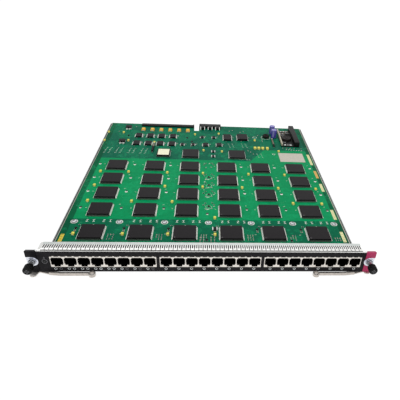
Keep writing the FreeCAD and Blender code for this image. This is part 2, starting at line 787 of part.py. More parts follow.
def moulded(x, y, width, depth, height, lift=0.0):
    """Moulded block with a drafted upper half."""
    middle = lift + (height - lift) / 2
    lower = box(around(x, width), around(y, depth), (lift, middle))
    rings = [rectangle(x, y, width, depth, middle),
             rectangle(x, y, width - 2 * pack_draft, depth - 2 * pack_draft, height)]
    return fused([lower, Part.makeLoft(rings, True)])


def chip(x, y, width, depth, height, reach, sides=4):
    """Chip package: drafted body over its formed leads, on all sides or on the two long ones."""
    shoulder = height * lead_shoulder
    foot_depth = depth + 2 * reach if sides == 4 else depth
    leads = Part.makeLoft([rectangle(x, y, width + 2 * reach, foot_depth, 0),
                           rectangle(x, y, width, depth, shoulder)], True)
    body = Part.makeLoft([rectangle(x, y, width, depth, shoulder),
                          rectangle(x, y, width - 2 * pack_draft, depth - 2 * pack_draft, height)], True)
    return fused([leads, body])


def save_packages():
    """Every large flat pack, row by row, then the smaller packages."""
    for number, row in enumerate(asic_places, start=1):
        save("port_chip_row_%d" % number,
             [chip(x, y, asic_size, asic_size, asic_height, lead_reach) for x, y in row])
    save("controller_chips", [chip(across(x), along(y), *size, lead_reach) for x, y, *size in controllers])
    x, y, *size = rom
    save("memory_chip", chip(across(x), along(y), *size, rom_lead_reach))
    save("bus_drivers", [chip(across(x), along(y), *size, reach, 2) for x, y, *size, reach in drivers])


def block(x, y, width, depth, height):
    """Small moulded block that sits on its pads."""
    return box(around(x, width), around(y, depth), (0, height))


def save_capacitors():
    """Tantalum blocks among the chips, in the supply corner and at the backplane."""
    places = [(x, y) for y, row in tantalum_rows for x in row] + list(loose_tantalums)
    blocks = [block(across(x), along(y), *tantalum_size) for x, y in places]
    blocks += [block(across(x), along(supply_row_y), *supply_tantalum_size) for x in supply_tantalums]
    save("tantalum_capacitors", blocks)
    bulk_places = [bulk_tantalum_x + i * bulk_tantalum_pitch for i in range(bulk_tantalum_count)]
    save("backplane_capacitors", [moulded(across(x), along(bulk_tantalum_y), *bulk_tantalum_size)
                                  for x in bulk_places])


def save_transistors():
    """Small transistors, and the two power transistors with their tabs."""
    small = [(x - front_transistor_offset, front_transistor_y) for x in asic_columns]
    small += list(loose_transistors)
    save("small_transistors", [block(across(x), along(y), *transistor_size) for x, y in small])
    power = [(across(x), along(y)) for x, y in power_transistors]
    save("power_transistors", [moulded(x, y, *power_transistor_size, power_tab) for x, y in power])
    width, depth = power_transistor_size[:2]
    metal = []
    for x, y in power:
        front = y - depth / 2
        metal.append(box(around(x, width - 2 * power_tab_inset), (front, y + depth / 2 + power_tab_reach),
                         (0, power_tab)))
        for i in (-1, 1):
            leg = [(front - reach, z) for reach, z in power_leg_section]
            metal.append(side_profile(leg, around(x + i * power_leg_pitch, power_leg_width)))
    save("power_transistor_leads", metal)


# ---------------------------------------------------------------- backplane end and supply corner

def backplane_connector():
    """Low receptacle bar on the recessed stretch of the rear edge."""
    return box(backplane_stretch, backplane_body, (0, backplane_height))


def guide_post():
    """Square keying post at the inner end of the receptacle bar."""
    x = backplane_stretch[1] + guide_post_width / 2
    return box(around(x, guide_post_width), (backplane_body[0], card_depth - backplane_recess),
               (0, guide_post_height))


def power_connector():
    """Supply connector: a rear bar with three forward blocks."""
    bar = box(power_stretch, power_body, (0, power_height))
    blocks = [box(around(across(x), power_block_width), (power_body[0] - power_block_length, power_body[0]),
                  (0, power_height)) for x in power_blocks]
    return fused([bar] + blocks)


def power_pins():
    """Tails of the supply contacts, down from the bar to the board."""
    tail = [(power_body[0] - reach, z) for reach, z in power_tail_section]
    offset = power_block_width / 2 + power_pin_width
    return [side_profile(tail, around(across(x) + side * offset, power_pin_width))
            for x in power_blocks for side in (-1, 1)]


def choke():
    """Wound ring core lying on the board."""
    level = (0, choke_height)
    x = across(choke_x)
    y = along(choke_y)
    return post(x, y, level, choke_radius).cut(post(x, y, level, choke_bore))


def fuse(x, y):
    """Tubular fuse lying along the card on two formed legs."""
    z = fuse_radius + fuse_lift
    half = fuse_length / 2
    tube = facet_bar_y(x, z, (y - half, y + half), fuse_radius, fuse_sides)
    legs = [box(around(x, fuse_leg), around(y + side * half, fuse_leg), (0, z)) for side in (-1, 1)]
    return fused([tube] + legs)


def save_supply_corner():
    """Converter module with its frame, core and heat bar, and the parts beside it."""
    board_x = span(converter_x, across)
    board_y = span(converter_y, along)
    bar_x = span(heat_bar_x, across)
    save("converter_board", box((board_x[0], bar_x[0]), board_y, (0, converter_base)))
    side = (board_x[0], board_x[0] + converter_side)
    save("converter_frame", box(side, board_y, (converter_base, converter_side_height)))
    core_x = (side[1] + bar_x[0]) / 2
    core_y = sum(board_y) / 2 - converter_core_shift
    save("converter_core", post(core_x, core_y, (converter_base, converter_core_height),
                                converter_core_radius))
    save("heat_sink_bar", box(bar_x, span(heat_bar_y, along), (0, heat_bar_height)))
    save("bulk_capacitors", [post(across(x), along(y), (0, electrolytic_height), electrolytic_radius)
                             for x, y in electrolytics])
    save("filter_choke", choke())
    save("tubular_fuses", [fuse(across(x), along(y)) for x, y in fuse_places])


def blank_labels():
    """Blank stickers along the board's edges and one by the supply corner."""
    right = around(board_half - edge_label_inset, edge_label_width)
    left = around(-(board_half - edge_label_inset), edge_label_width)
    plates = [box(span(patch_label[0], across), span(patch_label[1], along), (0, label_stock))]
    plates += [box(right, span(y, along), (0, label_stock)) for y in right_labels]
    plates += [box(left, span(y, along), (0, label_stock)) for y in left_labels]
    return plates


def magnetics():
    """Isolation transformers behind the jacks, one for each pair of ports."""
    return [block((first + second) / 2, magnetics_y, *magnetics_size)
            for first, second in zip(all_ports[0::2], all_ports[1::2])]


def main():
    """Write every piece of the card."""
    os.makedirs("parts", exist_ok=True)
    save("carrier_tray", carrier_tray())
    save("front_panel", front_panel())
    save("face_bezel", face_bezel())
    save("left_end_cap", end_cap(-1))
    save("right_end_cap", end_cap(1))
    save("grounding_finger_strip", finger_strip())
    for number, gang_x in enumerate(gang_centres, start=1):
        save("jack_shield_%d" % number, jack_shield(gang_x))
        save("jack_housing_%d" % number, jack_housing(gang_x))
    save("port_light_guides", [light_guide(x) for x in light_places])
    save("status_light", status_light())
    for side, name in ((-1, "left"), (1, "right")):
        save(name + "_ferrule", screw_ferrule(side))
        save(name + "_screw", captive_screw(side))
        save(name + "_retaining_ring", retaining_ring(side))
        save(name + "_knob", screw_knob(side))
        save(name + "_spring", screw_spring(side))
    save("lever_pins", [lever_pin(side) for side in (-1, 1)])
    save("left_lever", ejector_lever(-1, left_toe_reach))
    save("right_lever", ejector_lever(1, right_toe_reach))
    save("main_board", main_board())
    save("board_screws", board_screws())
    save("board_standoffs", board_standoffs())
    save_packages()
    save_capacitors()
    save_transistors()
    save("backplane_connector", backplane_connector())
    save("guide_post", guide_post())
    save("power_connector", power_connector())
    save("power_pins", power_pins())
    save_supply_corner()
    save("blank_labels", blank_labels())
    save("magnetics", magnetics())


main()
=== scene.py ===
"""Looks of the switch line card: finishes, leads, jack contacts, board artwork, floor, lights and camera.

Lengths in this script are millimetres in the card's own frame: x from the card's centre, y back from the face
plate's front, z up from the board's top. They become metres in the row frame where a piece is made.
"""
import json
import math
import random

import bmesh
import bpy
from mathutils import Matrix, Vector


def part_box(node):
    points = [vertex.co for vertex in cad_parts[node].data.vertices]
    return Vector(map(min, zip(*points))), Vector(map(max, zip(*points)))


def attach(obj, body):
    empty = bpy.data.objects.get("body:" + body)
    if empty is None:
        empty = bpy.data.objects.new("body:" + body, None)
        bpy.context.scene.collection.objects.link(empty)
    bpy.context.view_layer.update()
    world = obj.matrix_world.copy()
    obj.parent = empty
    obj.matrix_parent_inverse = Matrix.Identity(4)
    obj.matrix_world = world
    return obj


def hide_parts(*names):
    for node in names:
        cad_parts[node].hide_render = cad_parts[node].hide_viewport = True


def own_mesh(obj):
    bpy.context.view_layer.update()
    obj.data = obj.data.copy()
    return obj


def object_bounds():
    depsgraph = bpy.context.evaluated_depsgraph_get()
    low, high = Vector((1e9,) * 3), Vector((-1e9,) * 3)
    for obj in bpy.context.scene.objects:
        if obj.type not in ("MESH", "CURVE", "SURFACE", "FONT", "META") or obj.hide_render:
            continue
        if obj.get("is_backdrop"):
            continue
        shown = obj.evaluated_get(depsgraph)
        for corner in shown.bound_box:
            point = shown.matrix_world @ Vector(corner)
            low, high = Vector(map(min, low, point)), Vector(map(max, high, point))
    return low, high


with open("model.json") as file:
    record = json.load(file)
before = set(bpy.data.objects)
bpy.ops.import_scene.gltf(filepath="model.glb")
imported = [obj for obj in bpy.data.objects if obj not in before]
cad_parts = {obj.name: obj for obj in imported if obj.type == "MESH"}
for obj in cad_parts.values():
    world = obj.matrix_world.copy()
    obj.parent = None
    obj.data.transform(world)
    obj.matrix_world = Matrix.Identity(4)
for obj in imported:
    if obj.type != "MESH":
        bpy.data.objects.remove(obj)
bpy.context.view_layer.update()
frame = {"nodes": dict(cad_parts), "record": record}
nodes = frame["nodes"]
MM = 0.001
FACE_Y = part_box("face_bezel")[0].y
BOARD_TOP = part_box("main_board")[1].z
TO_ROW = Matrix.Translation((0, FACE_Y, BOARD_TOP)) @ Matrix.Scale(MM, 4)
TO_CARD = TO_ROW.inverted()
UP, BACK, FRONT, ACROSS = (0, 0, 1), (0, 1, 0), (0, -1, 0), (1, 0, 0)
EVEN = (1, 1, 1)        # a texture that isn't stretched
SAME_POINT = 1e-6       # corners closer than this, in metres, are one
EDGE_TURN = 0.6         # an edge that turns by more than this, in radians, is rounded


# ---------------------------------------------------------------- reading the frame

class Solid:
    """One solid of a CAD node: its corners in the card's frame, and its limits along x, y and z."""

    def __init__(self, points):
        self.points = points
        self.low = Vector([min(p[i] for p in points) for i in range(3)])
        self.high = Vector([max(p[i] for p in points) for i in range(3)])
        self.middle = (self.low + self.high) / 2
        self.x, self.y, self.z = zip(self.low, self.high)

    def halves(self, axis):
        """Distinct distances of its corners from its middle, across one axis, widest first."""
        found = sorted({round(abs(p[axis] - self.middle[axis]), 2) for p in self.points}, reverse=True)
        return [d for d in found if d > 0.05]


def solids(name):
    """The separate solids of a CAD node, from front left to back right."""
    bm = bmesh.new()
    bm.from_mesh(nodes[name].data)
    bmesh.ops.remove_doubles(bm, verts=bm.verts, dist=SAME_POINT / 10)
    seen = set()
    found = []
    for start in bm.verts:
        if start in seen:
            continue
        island = []
        stack = [start]
        seen.add(start)
        while stack:
            v = stack.pop()
            island.append(TO_CARD @ v.co)
            for e in v.link_edges:
                w = e.other_vert(v)
                if w not in seen:
                    seen.add(w)
                    stack.append(w)
        found.append(Solid(island))
    bm.free()
    return sorted(found, key=lambda s: (round(s.middle.y, 0), s.middle.x))


def limits(name):
    """Lowest and highest corners of a CAD node in the card's frame."""
    low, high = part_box(name)
    return TO_CARD @ low, TO_CARD @ high


# ---------------------------------------------------------------- mesh helpers

def span(middle, half):
    """Limits at the same distance on either side of a middle."""
    return middle - half, middle + half


def circle(centre, axis, radius, count):
    """Points round a line, at equal steps."""
    along = Vector(axis).normalized()
    side = along.orthogonal().normalized()
    other = along.cross(side)
    turns = [2 * math.pi * i / count for i in range(count)]
    return [centre + side * (radius * math.cos(a)) + other * (radius * math.sin(a)) for a in turns]


def round_edges(bm, width, **settings):
    """Round every edge that turns sharply."""
    sharp = [e for e in bm.edges if len(e.link_faces) == 2 and e.calc_face_angle(0) > EDGE_TURN]
    bmesh.ops.bevel(bm, geom=sharp, offset=width, segments=2, affect="EDGES", profile=0.5, **settings)


def hang(bm, name, body, slot, materials, smooth):
    """Turn a mesh in the row frame into a piece that rides on a body; materials may be given by slot name."""
    mesh = bpy.data.meshes.new(name)
    bm.to_mesh(mesh)
    bm.free()
    for m in materials or [slot]:
        mesh.materials.append(MATERIALS[m] if isinstance(m, str) else m)
    obj = bpy.data.objects.new(name, mesh)
    bpy.context.scene.collection.objects.link(obj)
    if smooth:
        mesh.shade_smooth()
        mesh.set_sharp_from_angle(angle=math.radians(smooth))
    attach(obj, body)
    return obj


class Shape:
    def __init__(self):
        self.bm = bmesh.new()

    def mark(self, faces, material):
        for f in faces:
            f.material_index = material

    def ring(self, points):
        return [self.bm.verts.new(p) for p in points]

    def skin(self, rings, closed=True, caps=(True, True), material=0):
        """Faces between successive rings of points."""
        loops = [self.ring(r) for r in rings]
        faces = []
        for a, b in zip(loops, loops[1:]):
            n = len(a)
            for i in range(n if closed else n - 1):
                j = (i + 1) % n
                faces.append(self.bm.faces.new((a[i], a[j], b[j], b[i])))
        if caps[0]:
            faces.append(self.bm.faces.new(list(reversed(loops[0]))))
        if caps[1]:
            faces.append(self.bm.faces.new(loops[-1]))
        self.mark(faces, material)

    def block(self, x, y, z, bevel=0.0, segments=2, material=0):
        """Block between pairs of limits, its edges rounded."""
        size = Vector((x[1] - x[0], y[1] - y[0], z[1] - z[0]))
        middle = Vector((x[0] + x[1], y[0] + y[1], z[0] + z[1])) / 2
        made = bmesh.ops.create_cube(self.bm, size=1.0,
                                     matrix=Matrix.Translation(middle) @ Matrix.Diagonal(size.to_4d()))
        corners = set(made["verts"])
        edges = [e for e in self.bm.edges if e.verts[0] in corners and e.verts[1] in corners]
        self.mark([f for f in self.bm.faces if all(v in corners for v in f.verts)], material)
        if bevel:
            bmesh.ops.bevel(self.bm, geom=edges, offset=bevel, segments=segments, affect="EDGES",
                            profile=0.5)

    def slab(self, x, y, z, material=0):
        """Plain block, for small or repeated pieces."""
        self.skin([[(x[0], y[0], h), (x[1], y[0], h), (x[1], y[1], h), (x[0], y[1], h)] for h in z],
                  material=material)

    def turned(self, centre, axis, profile, count=32, caps=(True, True), material=0):
        """Turned piece about a line; profile is (distance along the axis, radius)."""
        along = Vector(axis).normalized()
        self.skin([circle(Vector(centre) + along * h, axis, r, count) for h, r in profile], caps=caps,
                  material=material)

    def disc(self, centre, axis, radius, count=24, inner=0.0, material=0):
        """Flat disc or washer facing along an axis."""
        outer = self.ring(circle(Vector(centre), axis, radius, count))
        if not inner:
            faces = [self.bm.faces.new(outer)]
        else:
            hole = self.ring(circle(Vector(centre), axis, inner, count))
            faces = [self.bm.faces.new((outer[i], outer[(i + 1) % count], hole[(i + 1) % count], hole[i]))
                     for i in range(count)]
        self.mark(faces, material)

    def strip(self, path, width, across, thick, material=0):
        """Flat wire along a path of points, its width set along one direction."""
        points = [Vector(p) for p in path]
        w = Vector(across).normalized() * (width / 2)
        rings = []
        for i, p in enumerate(points):
            ahead = points[min(i + 1, len(points) - 1)] - points[max(i - 1, 0)]
            n = ahead.cross(w).normalized() * (thick / 2)
            rings.append([p - w - n, p + w - n, p + w + n, p - w + n])
        self.skin(rings, material=material)

    def finish(self, name, body, slot, materials=None, smooth=0):
        """Make the piece in the row frame, riding on a body."""
        bmesh.ops.recalc_face_normals(self.bm, faces=self.bm.faces)
        bmesh.ops.transform(self.bm, matrix=TO_ROW, verts=self.bm.verts)
        return hang(self.bm, name, body, slot, materials, smooth)


# ---------------------------------------------------------------- materials

def shade(srgb):
    """Colour given on a display scale of 0 to 1, made linear."""
    return tuple(c / 12.92 if c <= 0.04045 else ((c + 0.055) / 1.055) ** 2.4 for c in srgb) + (1.0,)


class Finish:
    """Node material: a base colour with variation, and bump."""

    def __init__(self, name, colour, rough, metal=0.0, coat=0.0, level=0.5):
        self.material = bpy.data.materials.new(name)
        self.material.use_nodes = True
        self.tree = self.material.node_tree
        self.shader = self.tree.nodes["Principled BSDF"]
        self.colour = shade(colour)
        self.place = self.tree.nodes.new("ShaderNodeTexCoord").outputs["Object"]
        self.feed(self.shader, {"Metallic": metal, "Roughness": rough, "Coat Weight": coat,
                                "Coat Roughness": 0.12, "Specular IOR Level": level,
                                "Base Color": self.colour})

    def feed(self, node, inputs):
        """Give a node's inputs their values, or link them to other nodes' outputs."""
        for key, value in inputs.items():
            if isinstance(value, bpy.types.NodeSocket):
                self.tree.links.new(value, node.inputs[key])
            else:
                node.inputs[key].default_value = value

    def node(self, kind, inputs, **settings):
        n = self.tree.nodes.new("ShaderNode" + kind)
        for key, value in settings.items():
            setattr(n, key, value)
        self.feed(n, inputs)
        return n

    def spot(self, stretch=EVEN):
        """Object place in metres, stretched."""
        return self.node("Mapping", {"Vector": self.place, "Scale": stretch}).outputs["Vector"]

    def noise(self, scale, detail=3.0, stretch=EVEN):
        return self.node("TexNoise", {"Vector": self.spot(stretch), "Scale": scale,
                                      "Detail": detail}).outputs["Fac"]

    def cells(self, scale, random_part, stretch=EVEN, **settings):
        """Distance from the middles of scattered cells."""
        inputs = {"Vector": self.spot(stretch), "Scale": scale, "Randomness": random_part}
        return self.node("TexVoronoi", inputs, feature="F1", **settings).outputs["Distance"]

    def between(self, factor, low, high, start=0.35, end=0.65):
        """Colour from low to high as a factor rises."""
        ramp = self.node("ValToRGB", {"Fac": factor})
        for element, position, colour in zip(ramp.color_ramp.elements, (start, end), (low, high)):
            element.position = position
            element.color = colour
        return ramp.outputs["Color"]

    def mix(self, factor, a, b):
        return self.node("Mix", {0: factor, 6: a, 7: b}, data_type="RGBA").outputs[2]

    def math(self, operation, a, b=0.0, clamp=False):
        return self.node("Math", {0: a, 1: b}, operation=operation, use_clamp=clamp).outputs[0]

    def product(self, *factors):
        """Several values multiplied."""
        total = factors[0]
        for factor in factors[1:]:
            total = self.math("MULTIPLY", total, factor)
        return total

    def rise(self, value, edge, slope):
        """0 below an edge, then rising to 1."""
        return self.math("MULTIPLY", self.math("SUBTRACT", value, edge), slope, clamp=True)

    def mottle(self, scale, amount, stretch=EVEN):
        """Lighter and darker patches over the base colour."""
        dark, light = [tuple(min(1, c * part) for c in self.colour[:3]) + (1.0,) for part in span(1, amount)]
        patches = self.between(self.noise(scale, stretch=stretch), dark, light)
        self.feed(self.shader, {"Base Color": patches})

    def polish(self, scale, low, high, stretch=EVEN):
        """Roughness that wanders between two values."""
        value = self.noise(scale, stretch=stretch)
        n = self.node("MapRange", {"Value": value, "To Min": low, "To Max": high})
        self.feed(self.shader, {"Roughness": n.outputs["Result"]})

    def bump(self, scale, height):
        """Fine relief; height in metres."""
        b = self.node("Bump", {"Height": self.noise(scale), "Strength": 1.0, "Distance": height})
        self.feed(self.shader, {"Normal": b.outputs["Normal"]})


def finish(name, colour, rough, metal=0.0, coat=0.0, mottle=None, polish=None, bump=None, level=0.5):
    """A material from plain settings: mottle (scale, amount), polish (scale, low, high), bump (scale, m)."""
    f = Finish(name, colour, rough, metal, coat, level)
    for texture, settings in ((f.mottle, mottle), (f.polish, polish), (f.bump, bump)):
        if settings:
            texture(*settings)
    return f.material


# Zones of the board's artwork
FRONT_ZONE = 93.0               # the darker front zone ends here
REAR_ZONE = 265.5               # the darker rear zone starts here, and further back on the right
REAR_STEP_X, REAR_STEP_SLOPE, REAR_STEP = 70.0, 1.6, 44.0
LEFT_BAND, RIGHT_BAND = -168.5, 169.5
ZONE_BLUR = 0.6                 # width of a zone's edge


def board_material():
    """Green solder mask: three zones along the board, darker side bands, faint tracks and vias."""
    f = Finish("solder_mask", (0.04, 0.56, 0.34), 0.45, level=0.03)
    split = f.node("SeparateXYZ", {0: f.place})
    x = f.product(split.outputs[0], 1 / MM)
    y = f.product(f.math("SUBTRACT", split.outputs[1], FACE_Y), 1 / MM)

    def tones(scale, low, high, start=0.35):
        return f.between(f.noise(scale, 4.0), shade(low), shade(high), start, 0.7)

    def below(value, edge):
        return f.math("SUBTRACT", 1.0, f.rise(value, edge, 1 / ZONE_BLUR))

    colour = tones(260.0, (0.0, 0.52, 0.31), (0.0, 0.565, 0.345), 0.3)
    # The rear zone's edge steps back towards the right
    step = f.math("MULTIPLY", f.math("SUBTRACT", x, REAR_STEP_X), REAR_STEP_SLOPE)
    step = f.math("MINIMUM", f.math("MAXIMUM", step, 0.0), REAR_STEP)
    back = f.rise(y, f.math("ADD", step, REAR_ZONE), 1.6)
    colour = f.mix(back, colour, tones(180.0, (0.015, 0.36, 0.265), (0.03, 0.40, 0.30)))
    colour = f.mix(below(y, FRONT_ZONE), colour, tones(220.0, (0.0, 0.37, 0.255), (0.0, 0.41, 0.28)))
    side = f.math("MAXIMUM", f.rise(x, RIGHT_BAND, 1 / ZONE_BLUR), below(x, LEFT_BAND))
    colour = f.mix(f.product(side, 0.85), colour, shade((0.0, 0.30, 0.195)))
    # Tracks: the borders of square cells, stretched both ways
    for stretch, scale in (((1, 0.35, 1), 420.0), ((0.35, 1, 1), 380.0)):
        steps = f.math("FRACT", f.product(f.cells(scale, 0.9, stretch, distance="CHEBYCHEV"), 5.0))
        lines = f.math("GREATER_THAN", steps, 0.72)
        patches = f.math("GREATER_THAN", f.noise(38.0, 2.0), 0.5)
        colour = f.mix(f.product(lines, patches, 0.22), colour, shade((0.10, 0.70, 0.45)))
    # Vias: small pale dots on a loose grid
    via = f.math("LESS_THAN", f.cells(330.0, 0.55), 0.12)
    clusters = f.math("GREATER_THAN", f.noise(55.0, 2.0), 0.56)
    colour = f.mix(f.product(via, clusters, 0.5), colour, shade((0.62, 0.80, 0.66)))
    # The board's cut edge is bare laminate
    facing = f.node("SeparateXYZ", {0: f.node("NewGeometry", {}).outputs["Normal"]})
    edge = f.math("LESS_THAN", f.math("ABSOLUTE", facing.outputs[2]), 0.5)
    colour = f.mix(edge, colour, shade((0.45, 0.50, 0.30)))
    f.feed(f.shader, {"Base Color": colour})
    f.bump(900.0, 0.00002)
    return f.material


GRAIN = 0.00001     # relief of moulded and painted faces, in metres
MATERIALS = {
    "galvanised_tray": finish("zinc_sheet", (0.56, 0.57, 0.57), 0.36, metal=0.95, mottle=(90.0, 0.14),
                              polish=(140.0, 0.26, 0.48)),
    "plated_panel": finish("plated_sheet", (0.95, 0.95, 0.94), 0.30, metal=0.8,
                           mottle=(200.0, 0.06, (1, 4, 1)), polish=(320.0, 0.22, 0.38)),
    "black_bezel": finish("black_paint", (0.115, 0.11, 0.12), 0.46, mottle=(500.0, 0.25),
                          polish=(380.0, 0.38, 0.56), bump=(2600.0, GRAIN), level=0.08),
    "black_cap": finish("black_moulding", (0.07, 0.067, 0.08), 0.40, mottle=(600.0, 0.2),
                        bump=(2400.0, GRAIN), level=0.10),
    "magenta_cap": finish("magenta_moulding", (0.67, 0.20, 0.36), 0.42, mottle=(420.0, 0.08),
                          bump=(2400.0, GRAIN), level=0.15),
    "bright_strip": finish("bright_plating", (0.96, 0.96, 0.95), 0.34, metal=0.35,
                           mottle=(160.0, 0.08, (1, 3, 1)), polish=(240.0, 0.24, 0.42)),
    "tinned_shield": finish("tinned_sheet", (0.88, 0.86, 0.83), 0.36, metal=0.6, mottle=(260.0, 0.08),
                            polish=(420.0, 0.26, 0.44)),
    "black_housing": finish("jack_plastic", (0.03, 0.03, 0.03), 0.55, mottle=(700.0, 0.2), level=0.04),
    "light_guide": finish("clear_moulding", (0.12, 0.125, 0.13), 0.16, mottle=(900.0, 0.05), level=0.3),
    "plated_bushing": finish("bright_bushing", (0.87, 0.88, 0.91), 0.16, metal=1.0, mottle=(500.0, 0.06),
                             polish=(600.0, 0.10, 0.24)),
    "plated_screw": finish("plated_steel", (0.76, 0.77, 0.78), 0.26, metal=1.0, mottle=(700.0, 0.10),
                           polish=(900.0, 0.18, 0.36)),
    "black_knob": finish("knob_plastic", (0.06, 0.06, 0.062), 0.40, mottle=(900.0, 0.2),
                         bump=(3000.0, GRAIN), level=0.12),
    "spring_steel": finish("spring_wire", (0.70, 0.71, 0.72), 0.28, metal=1.0, mottle=(1500.0, 0.08)),
    "zinc_lever": finish("nickel_stamping", (0.82, 0.80, 0.78), 0.33, metal=0.85,
                         mottle=(180.0, 0.10, (0.4, 1, 1)), polish=(260.0, 0.24, 0.44, (0.3, 1, 1))),
    "green_board": board_material(),
    "black_package": finish("chip_moulding", (0.105, 0.095, 0.105), 0.42, mottle=(900.0, 0.20),
                            polish=(700.0, 0.34, 0.54), bump=(4200.0, 0.000012), level=0.08),
    "pale_package": finish("ceramic_lid", (0.93, 0.92, 0.80), 0.45, mottle=(500.0, 0.05)),
    "yellow_block": finish("yellow_moulding", (0.90, 0.85, 0.36), 0.42, mottle=(700.0, 0.12), level=0.25),
    "orange_block": finish("orange_moulding", (0.90, 0.71, 0.28), 0.42, mottle=(600.0, 0.12), level=0.25),
    "tinned_lead": finish("solder_tin", (0.97, 0.97, 0.94), 0.36, metal=0.2, mottle=(900.0, 0.10)),
    "violet_can": finish("violet_sleeve", (0.25, 0.22, 0.60), 0.30, coat=0.5, mottle=(300.0, 0.10)),
    "dark_core": finish("ferrite", (0.12, 0.105, 0.10), 0.50, mottle=(800.0, 0.25), bump=(2600.0, 0.00003),
                        level=0.15),
    "converter_base": finish("dark_laminate", (0.08, 0.09, 0.085), 0.42, mottle=(420.0, 0.3), level=0.12),
    "beige_frame": finish("beige_moulding", (0.66, 0.64, 0.55), 0.45, mottle=(380.0, 0.10)),
    "black_connector": finish("connector_plastic", (0.07, 0.07, 0.07), 0.42, mottle=(700.0, 0.2),
                              bump=(2600.0, GRAIN), level=0.14),
    "fuse_body": finish("tan_tube", (0.36, 0.32, 0.22), 0.35, coat=0.3, mottle=(500.0, 0.12)),
    "label_stock": finish("blank_paper", (0.74, 0.72, 0.67), 0.62, mottle=(300.0, 0.05),
                          bump=(1600.0, GRAIN)),
}
WHITE_PRINT = finish("white_print", (0.90, 0.92, 0.88), 0.55, mottle=(1200.0, 0.06))
GREY_PRINT = finish("grey_print", (0.88, 0.90, 0.90), 0.55, mottle=(1200.0, 0.08))
# Painted shade: near-black put where holes, slots, recesses and scores lie in shade
HOLE_SHADE = finish("painted_hole_shade", (0.03, 0.035, 0.03), 0.6, mottle=(900.0, 0.2))
GOLD = finish("contact_gold", (0.83, 0.66, 0.33), 0.24, metal=1.0, mottle=(900.0, 0.10))
COPPER = finish("winding_wire", (0.62, 0.36, 0.20), 0.30, metal=0.8, coat=0.4, mottle=(1200.0, 0.15))
CERAMIC = finish("capacitor_ceramic", (0.56, 0.47, 0.36), 0.5, mottle=(900.0, 0.15))
RESISTOR = finish("resistor_glaze", (0.07, 0.07, 0.075), 0.4, mottle=(900.0, 0.2))
CREAM_PAPER = finish("cream_paper", (0.87, 0.86, 0.64), 0.62, mottle=(260.0, 0.06))
ORANGE_PAPER = finish("orange_paper", (0.86, 0.66, 0.30), 0.62, mottle=(260.0, 0.06))
YELLOW_PAPER = finish("yellow_paper", (0.83, 0.75, 0.16), 0.60, mottle=(260.0, 0.08))
LILAC = finish("can_top", (0.60, 0.58, 0.82), 0.30, metal=0.3, mottle=(700.0, 0.08))
SHADED_LEAD = finish("shaded_lead", (0.34, 0.40, 0.36), 0.42, metal=0.2, mottle=(900.0, 0.10))
SHADED_TIN = finish("shaded_tin", (0.66, 0.64, 0.61), 0.40, metal=0.7, mottle=(420.0, 0.08))
FAINT_PRINT = finish("faint_print", (0.42, 0.42, 0.43), 0.55, mottle=(1200.0, 0.08), level=0.1)
GAP_SHADE = finish("gap_shade", (0.07, 0.07, 0.07), 0.55, mottle=(900.0, 0.15), level=0.1)
RIM_GREY = finish("rim_grey", (0.77, 0.79, 0.78), 0.40, metal=0.4, mottle=(500.0, 0.08))
# Painted highlight: lighter grey for the lit edges of the knob's cross recess
KNOB_CROSS_HIGHLIGHT = finish("painted_cross_highlight", (0.26, 0.26, 0.27), 0.45, mottle=(900.0, 0.1))
# Painted shade: a darker copy of the lever's finish for its faces towards the front
LEVER_FRONT_SHADE = finish("painted_lever_front_shade", (0.76, 0.73, 0.70), 0.40, metal=0.7, mottle=(300.0, 0.1))
# Painted shade: darker still, for the lever's rounded edges
LEVER_BEVEL_SHADE = finish("painted_lever_bevel_shade", (0.28, 0.25, 0.22), 0.40, metal=0.4, mottle=(500.0, 0.1))
PAD_TIN = finish("bright_tin", (0.83, 0.85, 0.83), 0.40, metal=0.3, mottle=(900.0, 0.08))
YELLOW_DARK = finish("polarity_band", (0.52, 0.42, 0.08), 0.40, mottle=(900.0, 0.10))
PAPER_BARS = finish("printed_bars", (0.56, 0.53, 0.36), 0.60, mottle=(1500.0, 0.10))
LINE_PRINT = finish("line_print", (0.50, 0.70, 0.58), 0.55, mottle=(1200.0, 0.1), level=0.2)
PALE_MARK = finish("pale_mark", (0.62, 0.62, 0.60), 0.45, mottle=(1500.0, 0.1))
CHIP_TOP_MARK = finish("pin_mark", (0.20, 0.19, 0.20), 0.25, mottle=(1500.0, 0.1))

for entry in frame["record"]["subparts"]:
    data = nodes[entry["node"]].data
    data.materials.clear()
    data.materials.append(MATERIALS[entry["material_slot"]])


# ---------------------------------------------------------------- chips

LEAD_THICK = 0.16
FOOT_RISE = LEAD_THICK / 2 + 0.04       # middle of a lead's foot, over the board
DRAFT = 0.4                             # a moulded side leans in by this much
LEAST_RISE = 0.012                      # a mark lies this far over the face under it
LARGE_CHIP = 9.0                        # half width from which a package has a large pin mark


def gull_leads(shape, x, y, side, span_length, pitch, width, shoulder, reach):
    """One row of formed leads: out of the body, down and flat onto the board. side is a unit direction."""
    out = Vector((side[0], side[1], 0))
    along = Vector((-side[1], side[0], 0))
    count = int(span_length / pitch + 0.5)
    for i in range(count):
        foot = Vector((x, y, 0)) + along * ((i - (count - 1) / 2) * pitch)
        path = [foot + out * d + Vector((0, 0, h)) for d, h in
                ((-0.25, shoulder), (reach * 0.22, shoulder), (reach * 0.48, FOOT_RISE), (reach, FOOT_RISE))]
        # The rows at the front and rear get painted shade
        shape.strip(path, width, along, LEAD_THICK, material=abs(side[1]))


